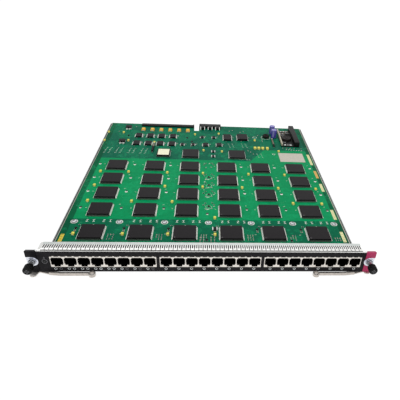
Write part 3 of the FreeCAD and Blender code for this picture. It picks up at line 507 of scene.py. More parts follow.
def chip_body(shape, low, high, bottom, top):
    """Moulded body: both halves drafted from a parting line, with rounded top edges."""
    line = bottom + (top - bottom) * 0.45
    soft = min(0.22, (top - bottom) * 0.08)

    def ring(inset, h):
        ax, ay = low[0] + inset, low[1] + inset
        bx, by = high[0] - inset, high[1] - inset
        c = min(0.35, inset + 0.12)
        return [(ax + c, ay, h), (bx - c, ay, h), (bx, ay + c, h), (bx, by - c, h),
                (bx - c, by, h), (ax + c, by, h), (ax, by - c, h), (ax, ay + c, h)]
    shape.skin([ring(inset, h) for inset, h in (
        (DRAFT * 0.9, bottom), (0.0, line), (0.04, line + 0.12), (DRAFT - 0.12, top - soft),
        (DRAFT, top - soft * 0.3), (DRAFT + soft, top))])


def dress_chips(node, pitch, lead_width, four_sides=True, lid=0.0, notch=False):
    """Replace a node's packages by bodies with their single leads; lid is the rim left around a pale lid."""
    bodies = Shape()
    leads = Shape()
    for s in solids(node):
        height = s.high.z
        wide = s.halves(0)
        deep = s.halves(1)
        bx = wide[1]
        by = deep[1] if four_sides else deep[0]
        x, y = s.middle.x, s.middle.y
        chip_body(bodies, (x - bx, y - by), (x + bx, y + by), 0.12, height - 0.12 if lid else height)
        if lid:
            bodies.block(span(x, bx - lid), span(y, by - lid), (height - 0.4, height), 0.08, 1, 2)
        else:
            radius, inset = (0.9, 2.2) if bx > LARGE_CHIP else (0.45, 1.2)
            bodies.disc((x - bx + inset, y - by + inset, height + LEAST_RISE), UP, radius, 20, material=1)
        if notch:
            bodies.slab(span(x, 0.7), (y + by - 1.5, y + by - 0.7), (height, height + LEAST_RISE), 3)
        sides = [((-1, 0), x - bx, y, by), ((1, 0), x + bx, y, by)]
        if four_sides:
            sides += [((0, -1), x, y - by, bx), ((0, 1), x, y + by, bx)]
        for side, px, py, half in sides:
            reach = (wide[0] - bx) if side[0] else (deep[0] - by)
            gull_leads(leads, px, py, side, 2 * half - 1.6, pitch, lead_width, height * 0.45, reach)
    body = bodies.finish(node + "_bodies", "card", "pale_package" if lid else "black_package",
                         ["black_package", CHIP_TOP_MARK, "pale_package", PALE_MARK])
    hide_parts(node)
    leads.finish(node + "_leads", "card", "tinned_lead", ["tinned_lead", SHADED_LEAD])


for chip_row in range(1, 6):
    dress_chips("port_chip_row_%d" % chip_row, 0.65, 0.38, notch=chip_row == 1)
dress_chips("controller_chips", 0.65, 0.38)
dress_chips("memory_chip", 1.0, 0.6, lid=1.6)
dress_chips("bus_drivers", 1.27, 0.6, four_sides=False)


# ---------------------------------------------------------------- jacks and face

PORTS_PER_GANG = 8
GANGS = [limits("jack_shield_%d" % n) for n in (1, 2, 3)]
PITCH = (GANGS[0][1].x - GANGS[0][0].x) / PORTS_PER_GANG
GANG_PORTS = [[low.x + (i + 0.5) * PITCH for i in range(PORTS_PER_GANG)] for low, high in GANGS]
PORT_LED_Z = solids("port_light_guides")[0].middle.z
PORT_HALF = 6.0         # half width of a mouth
PORT_ROOF = 11.6        # its roof over the board
CONTACTS = 8
CONTACT_PITCH = 1.02
LIP = 0.48              # how far a mouth's lip spreads over the shield
FACE_PRINT = -0.03      # printed marks lie this far before the face
RING = (1.5, 1.05)      # outer and inner radius of an indicator's ring
FINGERS = 76
RIM_DEPTH = 4.6         # plain rim at the strip's rear
FINGER_GAP = 1.22       # gap between two legs of the strip
TIP_GAP = 0.6           # gap between two tips
SLIT_END = 4.7          # the slits end this far behind the face


def jack_contacts():
    """Eight sprung wires in the roof of every jack, sloping down towards the back."""
    for gang, ports in enumerate(GANG_PORTS, 1):
        roof = limits("jack_housing_%d" % gang)[1].z - 0.75
        path = [(1.6, roof), (2.6, roof - 0.15), (3.4, roof - 0.75), (9.6, roof - 3.1), (11.6, roof - 3.3)]
        wires = Shape()
        combs = Shape()
        for x in ports:
            for i in range(CONTACTS):
                wx = x + (i - (CONTACTS - 1) / 2) * CONTACT_PITCH
                wires.strip([(wx, y, z) for y, z in path], 0.42, ACROSS, 0.26)
            for i in range(CONTACTS + 1):
                wx = x + (i - CONTACTS / 2) * CONTACT_PITCH
                combs.slab(span(wx, 0.16), (9.2, 12.2), (roof - 3.9, roof))
        wires.finish("jack_contacts_%d" % gang, "card", "plated_screw", [GOLD])
        combs.finish("contact_combs_%d" % gang, "card", "black_housing")


def shield_tabs():
    """Sprung tabs over each shield's mouth, a roof tongue in each port and contact ribs on the dividers."""
    for gang, (low, high) in enumerate(GANGS):
        top = high.z
        front = low.y
        ports = GANG_PORTS[gang]
        tabs = Shape()
        for x in ports:
            for dx in (-3.4, 3.4):
                tabs.block(span(x + dx, 1.1), (front - 0.12, front + 0.6), (top - 0.5, top + 0.75), 0.12, 1)
            tabs.block(span(x, 2.3), (front - 0.05, front + 0.3), (top - 2.3, top - 0.9), 0.04, 1, 1)
        for x in [ports[0] - PITCH / 2] + [x + PITCH / 2 for x in ports]:
            inset = 0.45 if x < ports[0] else (-0.45 if x > ports[-1] else 0)
            tabs.block(span(x + inset, 0.34), (front - 0.2, front + 0.3), (top - 8.4, top - 3.8), 0.12, 1)
        tabs.finish("shield_tabs_%d" % (gang + 1), "card", "tinned_shield", ["tinned_shield", SHADED_TIN])


def mouth_lips():
    """Dark edges of the plastic rolled over the sides and roof of every mouth."""
    half, wide, roof = PORT_HALF, PORT_HALF + LIP, PORT_ROOF
    side = [(half, 4.4), (wide, 5.0), (wide, roof - 0.4), (half, roof + 0.1)]
    above = [(0.3 - half, roof), (0.9 - half, roof + 1.35), (half - 0.9, roof + 1.35), (half - 0.3, roof)]
    for gang, (low, high) in enumerate(GANGS):
        lips = Shape()
        for x in GANG_PORTS[gang]:
            for outline in (side, [(-dx, z) for dx, z in side], above):
                lips.skin([[(x + dx, y, z) for dx, z in outline] for y in (low.y - 0.09, low.y + 0.02)])
        lips.finish("mouth_lips_%d" % (gang + 1), "card", "black_housing")


def indicators():
    """Domed light guides, each in a thin printed ring, a second row of rings and the status mark."""
    lenses = Shape()
    prints = Shape()

    def ring(x, z, radii, count, material=0):
        prints.disc((x, FACE_PRINT, z), FRONT, radii[0], count, radii[1], material)
    for s in solids("port_light_guides"):
        x, z = s.middle.x, s.middle.z
        lenses.turned((x, 0, z), BACK, [(-0.1, 0.3), (-0.04, 0.6), (0.15, 0.8), (4.7, 0.85)], 20)
        ring(x, z, RING, 28)
    # The first gang has a second ring by each light; only the ones after the first port are strong
    for number, x in enumerate(GANG_PORTS[0]):
        ring(x + 2.7, PORT_LED_Z, RING, 24, 0 if 1 <= number <= 4 else 1)
    low, high = limits("status_light")
    x, z = (low.x + high.x) / 2, high.z - (high.x - low.x) / 2
    ring(x, z, (2.95, 2.4), 36, 1)
    for half, bottom, top in ((0.28, 2.9, 6.2), (1.1, 4.4, 4.9)):
        prints.slab(span(x, half), (-0.05, -0.01), (z + bottom, z + top), 1)
    lens = lenses.finish("indicator_lenses", "card", "light_guide", smooth=50)
    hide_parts("port_light_guides")
    prints.finish("face_print", "card", "black_bezel", [GREY_PRINT, FAINT_PRINT])


def finger_strip():
    """Grounding strip: a plain rim, then bowed fingers, slit from the root and curled down at the tip."""
    low, high = limits("grounding_finger_strip")
    rear, front = high.y, low.y
    base, crown = low.z, high.z
    pitch = (high.x - low.x) / FINGERS
    root = rear - RIM_DEPTH
    inner = (low.x + 0.4, high.x - 0.4)
    leg = (pitch / 2 - FINGER_GAP) / 2
    tip = (pitch - TIP_GAP) / 2
    leg_path = [(root + 0.3, base + 0.16), (root - 1.2, base + 0.5), (root - 3.2, crown - 0.5),
                (root - 4.6, crown - 0.18), (SLIT_END - 0.1, crown - 0.16)]
    tip_path = [(SLIT_END, crown - 0.16), (front + 0.9, crown - 0.42), (front + 0.25, crown - 0.95)]
    strip = Shape()
    strip.block((low.x, high.x), (root + 0.2, rear), (base + 0.02, base + 0.27), 0.06, 1, 2)
    # Painted shadow: a dark line on the flange under and in front of the tips
    strip.slab(inner, (front - 0.75, front + 0.6), (base + 0.005, base + 0.05), 1)
    # Painted shade: a dark layer close under the fingers, seen in the gaps
    under = [(y, max(z, base + 0.4)) for y, z in leg_path + tip_path[1:2]]
    strip.skin([[(inner[0], y, z - 0.36), (inner[1], y, z - 0.36), (inner[1], y, z - 0.26),
                 (inner[0], y, z - 0.26)] for y, z in under], material=1)
    for i in range(FINGERS):
        x = low.x + (i + 0.5) * pitch
        for centre, half, path in ((x - pitch / 4, leg, leg_path), (x + pitch / 4, leg, leg_path),
                                   (x, tip, tip_path)):
            a, b = span(centre, half)
            strip.skin([[(a, y, z - 0.11), (b, y, z - 0.11), (b - 0.06, y, z + 0.11), (a + 0.06, y, z + 0.11)]
                        for y, z in path])
    obj = strip.finish("spring_fingers", "card", "bright_strip", ["bright_strip", GAP_SHADE, RIM_GREY],
                       smooth=35)
    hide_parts("grounding_finger_strip")


# ---------------------------------------------------------------- captive screws and levers

FLUTES = 20


def knob(name):
    """Fluted knob with a rounded nose, a cross recess and a waisted back edge."""
    low, high = limits(name + "_knob")
    x, z = (low.x + high.x) / 2, (low.z + high.z) / 2
    front, back = low.y, high.y
    radius = (high.x - low.x) / 2
    turns = [2 * math.pi * i / (FLUTES * 6) for i in range(FLUTES * 6)]

    def ring(y, inset, depth):
        radii = [radius - inset - depth * max(0.0, math.cos(a * FLUTES)) ** 2 for a in turns]
        return [(x + r * math.cos(a), y, z + r * math.sin(a)) for r, a in zip(radii, turns)]
    grip = Shape()
    grip.skin([ring(*row) for row in (
        (front + 0.02, 1.5, 0), (front + 0.08, 1.1, 0), (front + 0.4, 0.45, 0.1), (front + 1.0, 0.06, 0.42),
        (front + 1.6, 0, 0.5), (back - 1.1, 0, 0.5), (back - 0.7, 0.1, 0.34), (back - 0.25, 0.6, 0),
        (back, 1.2, 0))])
    obj = grip.finish(name + "_grip", name + "_screw_turn", "black_knob", smooth=40)
    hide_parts(name + "_knob")
    # The recess is a cross in a shallow dish; the cross is lighter grey, a painted highlight on its edges
    recess = Shape()
    recess.disc((x, front + 0.03, z), FRONT, radius - 1.55, 32)
    for wide, tall in ((2.5, 0.65), (0.65, 2.5)):
        recess.slab(span(x, wide), (front + 0.01, front + 0.025), span(z, tall), 1)
    recess.finish(name + "_recess", name + "_screw_turn", "black_knob", ["black_knob", KNOB_CROSS_HIGHLIGHT])


def screw_collar(name):
    """Bright lip on the ferrule, and collar rings on the screw between its knob and the ferrule."""
    front = limits(name + "_ferrule")[0].y
    low, high = limits(name + "_knob")
    axis = ((low.x + high.x) / 2, 0, (low.z + high.z) / 2)
    lip = Shape()
    lip.turned(axis, BACK, [(front + dy, r) for dy, r in (
        (-0.02, 3.75), (-0.3, 3.85), (-0.38, 4.3), (-0.3, 4.72), (0.05, 4.84), (0.4, 4.84))],
               40, (False, False))
    lip.finish(name + "_ferrule_lip", "card", "plated_bushing", smooth=50)
    rings = Shape()
    for i in range(3):
        y = high.y + 0.7 + i * 1.3
        rings.turned(axis, BACK, [(y, 3.2), (y + 0.12, 3.42), (y + 0.6, 3.42), (y + 0.72, 3.2)], 36,
                     (False, False))
    rings.finish(name + "_collar_rings", name + "_screw_turn", "plated_screw", smooth=50)


for screw_name in ("left", "right"):
    knob(screw_name)
    screw_collar(screw_name)
jack_contacts()
shield_tabs()
mouth_lips()
indicators()
finger_strip()


# ---------------------------------------------------------------- board fixings and printed artwork

PRINT_RISE = 0.03       # printed marks lie this far above the board
CHIP_COLUMNS = [s.middle.x for s in solids("port_chip_row_1")]
HOLE_ROWS = (120.0, 163.0, 203.0, 246.0)
HOLE_COLUMNS = (-165.2, -113.0, -57.8, 53.4, 107.2, 165.3)
FRONT_HOLE = (0.1, 108.0)
NEAR_HOLES = 150.0      # holes before this show more of their bore and less of their rim


def line(shape, start, end, width=0.45, material=0):
    """One straight printed line on the board."""
    across = (start[1] - end[1], end[0] - start[0], 0)
    shape.strip([(*start, PRINT_RISE), (*end, PRINT_RISE)], width, across, 0.02, material)


def lines(shape, x, y, rows):
    """Several printed lines round a point; each row is x, y, x, y, width and perhaps a material."""
    for x1, y1, x2, y2, width, *material in rows:
        line(shape, (x + x1, y + y1), (x + x2, y + y2), width, *material)


def rings_at(shape, places, count=28):
    """Printed rings on the board; each place is x, y, outer and inner radius."""
    for x, y, outer, inner in places:
        shape.disc((x, y, PRINT_RISE), UP, outer, count, inner)


def board_fixings():
    """Low pan-head screws with a cross recess in painted shade, each in a bright round pad with a ring of
    painted shadow round its head.
    """
    heads = Shape()
    pads = Shape()
    for s in solids("board_screws"):
        x, y = s.middle.x, s.middle.y
        top = s.high.z
        profile = [(s.low.z, 1.4), (0.0, 1.4), (0.02, 2.85), (0.75, 2.95), (1.25, 2.6), (1.55, 1.9),
                   (top, 1.0)]
        heads.turned((x, y, 0), UP, profile, 28)
        # The cross recess is painted shade
        for wide, deep in ((1.6, 0.3), (0.3, 1.6)):
            heads.block(span(x, wide), span(y, deep), (top - 0.1, top + 0.015), material=1)
        pads.disc((x, y, PRINT_RISE), UP, 4.4, 36, 3.3)
        # Painted shadow: a dark ring round the head's edge, inside the pad
        pads.disc((x, y, PRINT_RISE - 0.01), UP, 3.3, 32, 2.6, material=1)
    head = heads.finish("board_screw_heads", "card", "plated_screw", ["plated_screw", HOLE_SHADE], smooth=40)
    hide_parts("board_screws")
    pads.finish("screw_pads", "card", "tinned_lead", [PAD_TIN, HOLE_SHADE])


def plated_holes():
    """Open plated holes beside the flat packs: a pale rim with the bore, in painted shade, a little off its
    middle.
    """
    rims = Shape()
    for x, y in [(x, y) for x in HOLE_COLUMNS for y in HOLE_ROWS] + [FRONT_HOLE]:
        rim, bore = (1.3, 1.9) if y < NEAR_HOLES else (1.9, 1.5)
        rims.disc((x - 0.1, y - 1.7, PRINT_RISE), UP, rim, 20)
        # The bore is a flat disc of painted shade
        rims.disc((x, y + 0.3, PRINT_RISE + 0.02), UP, bore, 18, material=1)
    rims.finish("plated_holes", "card", "tinned_lead", [WHITE_PRINT, HOLE_SHADE])


# Guide marks at the rear: a long line with a tick at either end
LONG_MARK = ((0, 0, 0.9, 17.5, 0.55, 1), (-2.4, -0.5, 0, 1.0, 0.5), (0.9, 17.5, 2.6, 18.5, 0.5),
             (-1.2, 8.5, 0.6, 11.5, 0.5))
SHORT_MARK = ((0, 0, -1.0, 14.5, 0.5, 1), (0, 0, 1.6, 0.8, 0.5), (-1.0, 14.5, -2.8, 14.0, 0.5))


def printed_marks():
    """Generic guide marks: paired lines at the rear, ticks by the screws and outlines round small parts."""
    marks = Shape()
    for x in (-167.0, -149.0, -128.5, -109.0):
        for dx in (0.0, 7.0):
            lines(marks, x + dx, 285.5, LONG_MARK)
    for x, y in ((38.0, 317.5), (61.0, 318.5), (85.0, 280.0)):
        for dx in (0.0, 6.6):
            lines(marks, x + dx, y, SHORT_MARK)
    # Ticks in front of each column of flat packs
    for column in CHIP_COLUMNS:
        for dx, lean in ((-11.0, 1.2), (-3.0, -1.0), (9.5, 1.2), (17.5, -0.8)):
            lines(marks, column + dx, 87.0, ((-1.3, 4.0, 1.5, 4.4, 0.55), (-lean, 0, lean, 4.2, 0.6),
                                             (-1.2, -0.2, 1.6, 0, 0.55)))
    # Small dashes near the flat packs' corners and along the rows of holes
    for column in CHIP_COLUMNS:
        for y in (128.0, 170.0, 211.0, 254.0):
            lines(marks, column, y, ((21.5, 0, 23.6, 0.4, 0.55), (-20.0, -9.0, -18.2, -9.0, 0.5)))
        lines(marks, column, 61.5, ((-24.5, 0, -22.4, 0, 0.5),))
    # Outlines round the parts in the middle column
    for s in solids("small_transistors"):
        x, y = s.middle.x, s.middle.y
        if abs(x) < 5 and y > 100:
            rings_at(marks, ((x, y - 1.4, 4.2, 3.95),))
            lines(marks, x, y, ((5.6, 0.4, 8.2, 0.8, 0.6), (-3.2, -7.6, 0.8, -6.6, 0.8)))
    for x, y in ((1.9, 253.0), (-3.6, 199.5), (-5.2, 193.0)):
        lines(marks, x, y, ((0, 0, 1.8, 2.2, 0.9),))
    # Rings near the choke and beside the patch
    rings_at(marks, ((112.2, 294.2, 2.6, 2.0), (85.5, 362.9, 3.6, 3.0)))
    choke = solids("filter_choke")[0].middle
    rings_at(marks, ((choke.x, choke.y, 8.4, 7.8),), 36)
    for i in range(7):
        lines(marks, 136.0 + i * 4.4, 313.6 - i * 0.5, ((0, 0, 2.2, 1.8, 0.8),))
    for i in range(5):
        lines(marks, 52.0 + i * 4.0, 270.5, ((0, 0, 2.0, 0.7, 0.8),))
    marks.finish("printed_marks", "card", "green_board", [WHITE_PRINT, LINE_PRINT])


def edge_strips():
    """Bare tinned ground strips along both edges of the board."""
    low, high = limits("main_board")
    strips = Shape()
    for side in (-1, 1):
        edge = side * high.x
        a, b = sorted((edge - side * 0.3, edge - side * 1.3))
        strips.slab((a, b), (low.y + 24.0, high.y - 2.0), (0.005, PRINT_RISE))
    strips.finish("edge_strips", "card", "tinned_lead", [SHADED_TIN])


# ---------------------------------------------------------------- small parts

def end_block(shape, x, y, width, depth, height, cap, along_x=True, body=0, ends=1):
    """Two-terminal part: a body between two bright end caps."""
    half, other = (width / 2, depth / 2) if along_x else (depth / 2, width / 2)
    centre, beside = (x, span(y, other)) if along_x else (y, span(x, other))
    pieces = [((centre - half + cap, centre + half - cap), (0.05, height), body)]
    for low, high in ((centre - half, centre - half + cap), (centre + half - cap, centre + half)):
        pieces.append(((low, high), (0.0, height + 0.03), ends))
    for along, z, material in pieces:
        sides = (along, beside) if along_x else (beside, along)
        shape.block(*sides, z, 0.08, 1, material)


def small_parts():
    """Chip resistors and capacitors: beside the front flat packs, in the middle column and at the rear."""
    rng = random.Random(7)
    parts = Shape()

    def lengthwise(x, y, width=1.2, depth=2.2, height=0.55, cap=0.5, body=2):
        end_block(parts, x, y, width, depth, height, cap, False, body)
    for column in CHIP_COLUMNS:
        for row in range(3):
            for i in range(3):
                if rng.random() < 0.8:
                    lengthwise(column + 20.2 + i * 3.1, 50.5 + row * 4.4, cap=0.45, body=rng.choice((0, 2)))
        end_block(parts, column - 20.4, 66.8, 2.6, 1.4, 0.6, 0.5, True, 2)
        end_block(parts, column - 17.4, 78.8, 2.4, 1.3, 0.6, 0.5)
    # Either side of the middle column's transistors
    for y in (247.0, 209.9, 182.9, 158.7, 127.0):
        for dx, dy in ((-4.4, 6.4), (4.2, -6.6), (-4.0, -8.2), (5.0, 7.2), (7.4, 3.0), (-7.0, 1.5)):
            end_block(parts, 1.6 + dx, y + dy, 2.4, 1.5, 0.6, 0.45, dy > 0)
    for x in (-8.6, -4.4, 4.6, 8.8):
        for y in (44.5, 49.5, 54.5):
            lengthwise(x, y, 1.3, 2.4)
    # Scattered round the rear packages
    for s in solids("bus_drivers"):
        x, y = s.middle.x, s.middle.y
        lengthwise(x + s.high.x - s.middle.x + 2.0, y + 3.4, depth=2.3)
        end_block(parts, x - 2.6, s.low.y - 2.4, 2.3, 1.2, 0.55, 0.5)
    for i in range(6):
        end_block(parts, 132.0 + i * 6.4, 320.0 - i * 0.4, 2.3, 1.3, 0.6, 0.5, True, rng.choice((0, 2)))
    for x, y in ((69.0, 305.0), (73.0, 300.0), (77.0, 293.0), (98.0, 352.0), (98.0, 346.0), (92.0, 372.0),
                 (60.0, 384.0), (66.0, 388.0), (40.0, 388.0), (46.0, 392.0), (-158.0, 372.0),
                 (-131.0, 396.0)):
        lengthwise(x, y, 1.3, 2.4, 0.6)
    parts.finish("small_parts", "card", "tinned_lead", [RESISTOR, PAD_TIN, CERAMIC])


WIDE_PARTS_X = 9.3      # the wide two-terminal parts stand here


def transistors():
    """Small transistors on three leads, and the wide two-terminal parts by the controllers."""
    bodies = Shape()
    for s in solids("small_transistors"):
        x, y = s.middle.x, s.middle.y
        if abs(x - WIDE_PARTS_X) < 0.6:
            end_block(bodies, x, y, 6.6, 6.4, 1.6, 1.3)
            continue
        wide = s.high.x - s.low.x
        bodies.block(s.x, s.y, (0.12, s.high.z), 0.2, 1)
        front, back = (s.low.y - 0.9, s.low.y + 0.2), (s.high.y - 0.2, s.high.y + 0.9)
        for dx, y_limits in ((-wide * 0.36, front), (wide * 0.36, front), (0.0, back)):
            bodies.block(span(x + dx, 0.3), y_limits, (0.0, 0.3), 0.05, 1, 1)
    obj = bodies.finish("transistor_bodies", "card", "black_package", ["black_package", PAD_TIN])
    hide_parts("small_transistors")


def tantalum_blocks():
    """Moulded blocks with bright end terminals and a dark polarity band."""
    blocks = Shape()
    for s in solids("tantalum_capacitors"):
        near, far = s.y
        top = s.high.z
        blocks.block(s.x, (near + 0.25, far - 0.25), (0.1, top), 0.28)
        for y in ((near - 0.05, near + 0.5), (far - 0.5, far + 0.05)):
            blocks.block(span(s.middle.x, 1.0), y, (0.0, 1.2), 0.06, 1, 1)
        blocks.block((s.low.x + 0.3, s.high.x - 0.3), (near + 0.6, near + 1.3),
                     (top - 0.05, top + LEAST_RISE), material=2)
    obj = blocks.finish("tantalum_blocks", "card", "yellow_block", ["yellow_block", PAD_TIN, YELLOW_DARK],
                        smooth=40)
    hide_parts("tantalum_capacitors")
    large = Shape()
    for s in solids("backplane_capacitors"):
        a, b, z = s.low, s.high, s.high.z
        rings = ((0.1, 0.1), (0.0, z * 0.4), (0.9, z - 0.2), (1.2, z))
        large.skin([[(a.x + i, a.y + i, h), (b.x - i, a.y + i, h), (b.x - i, b.y - i, h),
                     (a.x + i, b.y - i, h)] for i, h in rings])
        for y in ((a.y - 0.1, a.y + 0.9), (b.y - 0.9, b.y + 0.1)):
            large.block(span(s.middle.x, 2.4), y, (0.0, 1.7), 0.1, 1, 1)
    obj = large.finish("backplane_blocks", "card", "orange_block", ["orange_block", PAD_TIN])
    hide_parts("backplane_capacitors")


ORANGE_Y = 224.0        # the orange sticker's place
BAR_PITCH = 3.4


def stickers():
    """Coloured stickers along the edges, each with faint generic bars, and the pale patch."""
    papers = Shape()
    for s in solids("blank_labels"):
        patch = s.high.x - s.low.x > 10
        # Cream, but orange in one place on the right and yellow on the left
        tone = 0 if patch else 3 if s.middle.x < 0 else 2 if abs(s.middle.y - ORANGE_Y) < 8 else 1
        papers.block(s.x, s.y, (0.0, s.high.z), 0.03, 1, tone)
        if patch:
            continue
        bar, ink = (0.75, 5) if tone == 3 else (0.35, 4)
        length = s.high.y - s.low.y
        count = int(length / BAR_PITCH)
        for i in range(count):
            papers.slab((s.low.x + 0.7, s.high.x - 0.9), span(s.low.y + (i + 0.5) * length / count, bar),
                        (s.high.z, s.high.z + 0.01), ink)
    obj = papers.finish("stickers", "card", "label_stock", ["label_stock", CREAM_PAPER, ORANGE_PAPER,
                                                            YELLOW_PAPER, PAPER_BARS, YELLOW_DARK])
    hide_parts("blank_labels")


# ---------------------------------------------------------------- supply corner and backplane end

STRIPE_START, STRIPE_STEP = -2.2, 0.16      # radians round a can


def bulk_cans():
    """Sleeved electrolytics with a rolled shoulder, a bright scored top with the scores in painted shade, a
    groove and a pale stripe.
    """
    cans = Shape()
    for s in solids("bulk_capacitors"):
        x, y = s.middle.x, s.middle.y
        r = (s.high.x - s.low.x) / 2
        top = s.high.z
        profile = [(0.1, r - 0.5), (0.5, r), (1.6, r), (1.9, r - 0.4), (2.3, r - 0.4), (2.7, r),
                   (top - 0.7, r), (top - 0.25, r - 0.25), (top - 0.1, r - 0.7), (top - 0.2, r - 1.1)]
        cans.turned((x, y, 0), UP, profile, 36, (True, False))
        cans.disc((x, y, top - 0.22), UP, r - 1.0, 32, material=1)
        middle = Vector((x, y, top - 0.2))
        # The two scores across the top are painted shade
        for turn in (0.3, 0.3 + math.pi / 2):
            d = Vector((math.cos(turn), math.sin(turn), 0)) * (r - 1.6)
            cans.strip([middle - d, middle + d], 0.3, (-d.y, d.x, 0), 0.04, 2)
        # Stripe down the sleeve, facing front left
        for step in range(4):
            edges = [STRIPE_START + turn for turn in (step * STRIPE_STEP, (step + 1) * STRIPE_STEP)]
            ring = [(x + (r + 0.02) * math.cos(t), y + (r + 0.02) * math.sin(t)) for t in edges]
            cans.skin([[(px, py, z) for px, py in ring] for z in (3.0, top - 0.8)], closed=False,
                      caps=(False, False), material=1)
    obj = cans.finish("bulk_cans", "card", "violet_can", ["violet_can", LILAC, HOLE_SHADE], smooth=35)
    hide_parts("bulk_capacitors")


CHOKE_BORE = 2.2
CHOKE_TURNS = 24


def wound_choke():
    """Ring core with close turns of dark enamelled wire round it."""
    s = solids("filter_choke")[0]
    outer = s.halves(0)[0]
    middle = (outer + CHOKE_BORE) / 2
    tube = (outer - CHOKE_BORE) / 2
    height = s.high.z / 2
    count = 96
    sides = 14
    shape = Shape()
    rings = []
    for i in range(count):
        a = 2 * math.pi * i / count
        swell = 1.0 - 0.10 * (0.5 + 0.5 * math.cos(a * CHOKE_TURNS))
        ring = []
        for j in range(sides):
            b = 2 * math.pi * j / sides
            r = middle + tube * swell * math.cos(b)
            z = height + height * swell * 0.98 * math.sin(b)
            ring.append((s.middle.x + r * math.cos(a), s.middle.y + r * math.sin(a), z))
        rings.append(ring)
    rings.append(rings[0])
    shape.skin(rings, caps=(False, False))
    bmesh.ops.remove_doubles(shape.bm, verts=shape.bm.verts, dist=SAME_POINT / MM)
    shape.disc((s.middle.x, s.middle.y, 0.5), UP, CHOKE_BORE + 0.6, 24, material=1)
    obj = shape.finish("wound_choke", "card", "dark_core", ["dark_core", COPPER], smooth=60)
    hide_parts("filter_choke")


def converter_parts():
    """Converter module: planar core with its centre post and windings, small parts and solder on the base."""
    core = solids("converter_core")[0]
    x, y = core.middle.x, core.middle.y
    r = (core.high.x - core.low.x) / 2
    low, high = core.z
    shape = Shape()
    profile = [(low, r), (high - 1.0, r), (high - 0.5, r - 0.3), (high - 0.4, r - 2.0), (high - 0.9, r - 2.6),
               (high - 0.9, 3.6), (high - 0.3, 3.2), (high, 2.6)]
    shape.turned((x, y, 0), UP, profile, 44)
    obj = shape.finish("converter_winding", "card", "dark_core", smooth=35)
    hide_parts("converter_core")
    base_low, base_high = limits("converter_board")
    frame_high = limits("converter_frame")[1]
    left, right = frame_high.x + 0.6, base_high.x - 0.8
    front, back = base_low.y, base_high.y
    top = base_high.z
    extras = Shape()

    def put(x_limits, near, far, height, material, bevel=0.1, segments=1):
        extras.block(x_limits, (near, far), (top, top + height), bevel, segments, material)
    for i in range(7):
        put(span(left + 2.0 + i * (right - left - 4.0) / 6, 0.9), back - 6.5, back - 3.6, 0.9, 1 - i % 2)
    for i in range(4):
        put(span(left + 1.6 + i * 2.6, 0.7), back - 16.0, back - 13.4, 0.8, i % 2)
    put((right - 7.4, right - 1.2), back - 17.5, back - 9.5, 2.2, 2, 0.25, 2)
    put((left + 1.2, left + 5.8), back - 27.5, back - 20.5, 1.8, 2, 0.25, 2)
    put((left + 0.8, left + 6.4), front + 12.0, front + 17.0, 1.4, 2, 0.2)
    for px in (left + 4.0, right - 5.2):
        put(span(px, 1.6), front + 1.2, front + 4.4, 1.1, 0, 0.3)
    for px in (left + 9.0, left + 12.4):
        put(span(px, 0.7), front + 2.0, front + 4.2, 0.8, 0)
    extras.finish("converter_parts", "card", "converter_base", [PAD_TIN, CERAMIC, "black_package"])
    pins = Shape()
    profile = [(frame_high.z + rise, r) for rise, r in ((-0.1, 0.5), (0.25, 0.5), (0.4, 0.25))]
    for i in range(9):
        pins.turned((base_low.x + 1.2, front + 4.0 + i * 7.4, 0), UP, profile, 10)
    pins.finish("converter_pins", "card", "tinned_lead", smooth=40)


def fuses():
    """Tubular fuses: a tan rear half and a black front half, between bright caps on formed legs."""
    shape = Shape()
    for s in solids("tubular_fuses"):
        x, z = s.middle.x, s.high.z - 1.7
        a, b = s.low.y + 0.5, s.high.y - 0.5
        split = a + (b - a) * (0.55 if x < 0 else 0.22)
        for profile, caps, material in (([(a, 1.2), (a + 0.3, 1.65), (split, 1.65)], (True, False), 1),
                                        ([(split, 1.66), (b - 2.0, 1.66)], (False, False), 0),
                                        ([(b - 2.0, 1.7), (b - 0.3, 1.7), (b, 1.3)], (False, True), 2)):
            shape.turned((x, 0, z), BACK, profile, 22, caps, material)
        for y in (a, b):
            shape.block(span(x, 0.4), span(y, 0.4), (0.0, z), 0.1, 1, 2)
    obj = shape.finish("fuse_tubes", "card", "fuse_body", ["fuse_body", "black_package", PAD_TIN], smooth=40)
    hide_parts("tubular_fuses")


def power_packages():
    """Power transistors with a rounded top edge and a mark, on their tinned tabs."""
    shape = Shape()
    for s in solids("power_transistors"):
        shape.block(s.x, s.y, s.z, 0.35)
        shape.disc((s.low.x + 1.6, s.low.y + 1.6, s.high.z + LEAST_RISE), UP, 0.6, 18, material=1)
    obj = shape.finish("power_package_bodies", "card", "black_package", ["black_package", CHIP_TOP_MARK],
                       smooth=40)
    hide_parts("power_transistors")


SLOT_COUNT = 46


def backplane_slots():
    """Contact slots along the top of the receptacle bar, drawn as painted shade."""
    low, high = limits("backplane_connector")
    shape = Shape()
    for i in range(SLOT_COUNT):
        x = low.x + (i + 0.5) * (high.x - low.x) / SLOT_COUNT
        # Each slot is a thin dark slab of painted shade
        shape.slab(span(x, 0.45), (high.y - 3.4, high.y - 0.6), (high.z - 0.1, high.z + LEAST_RISE))
    shape.finish("receptacle_slots", "card", "black_connector", [HOLE_SHADE])


CAP_CORNER = 1.05       # points this near the cap's outer corner are drawn into it
CAP_FALL = 0.34         # fall of the cap's top for each millimetre towards the back


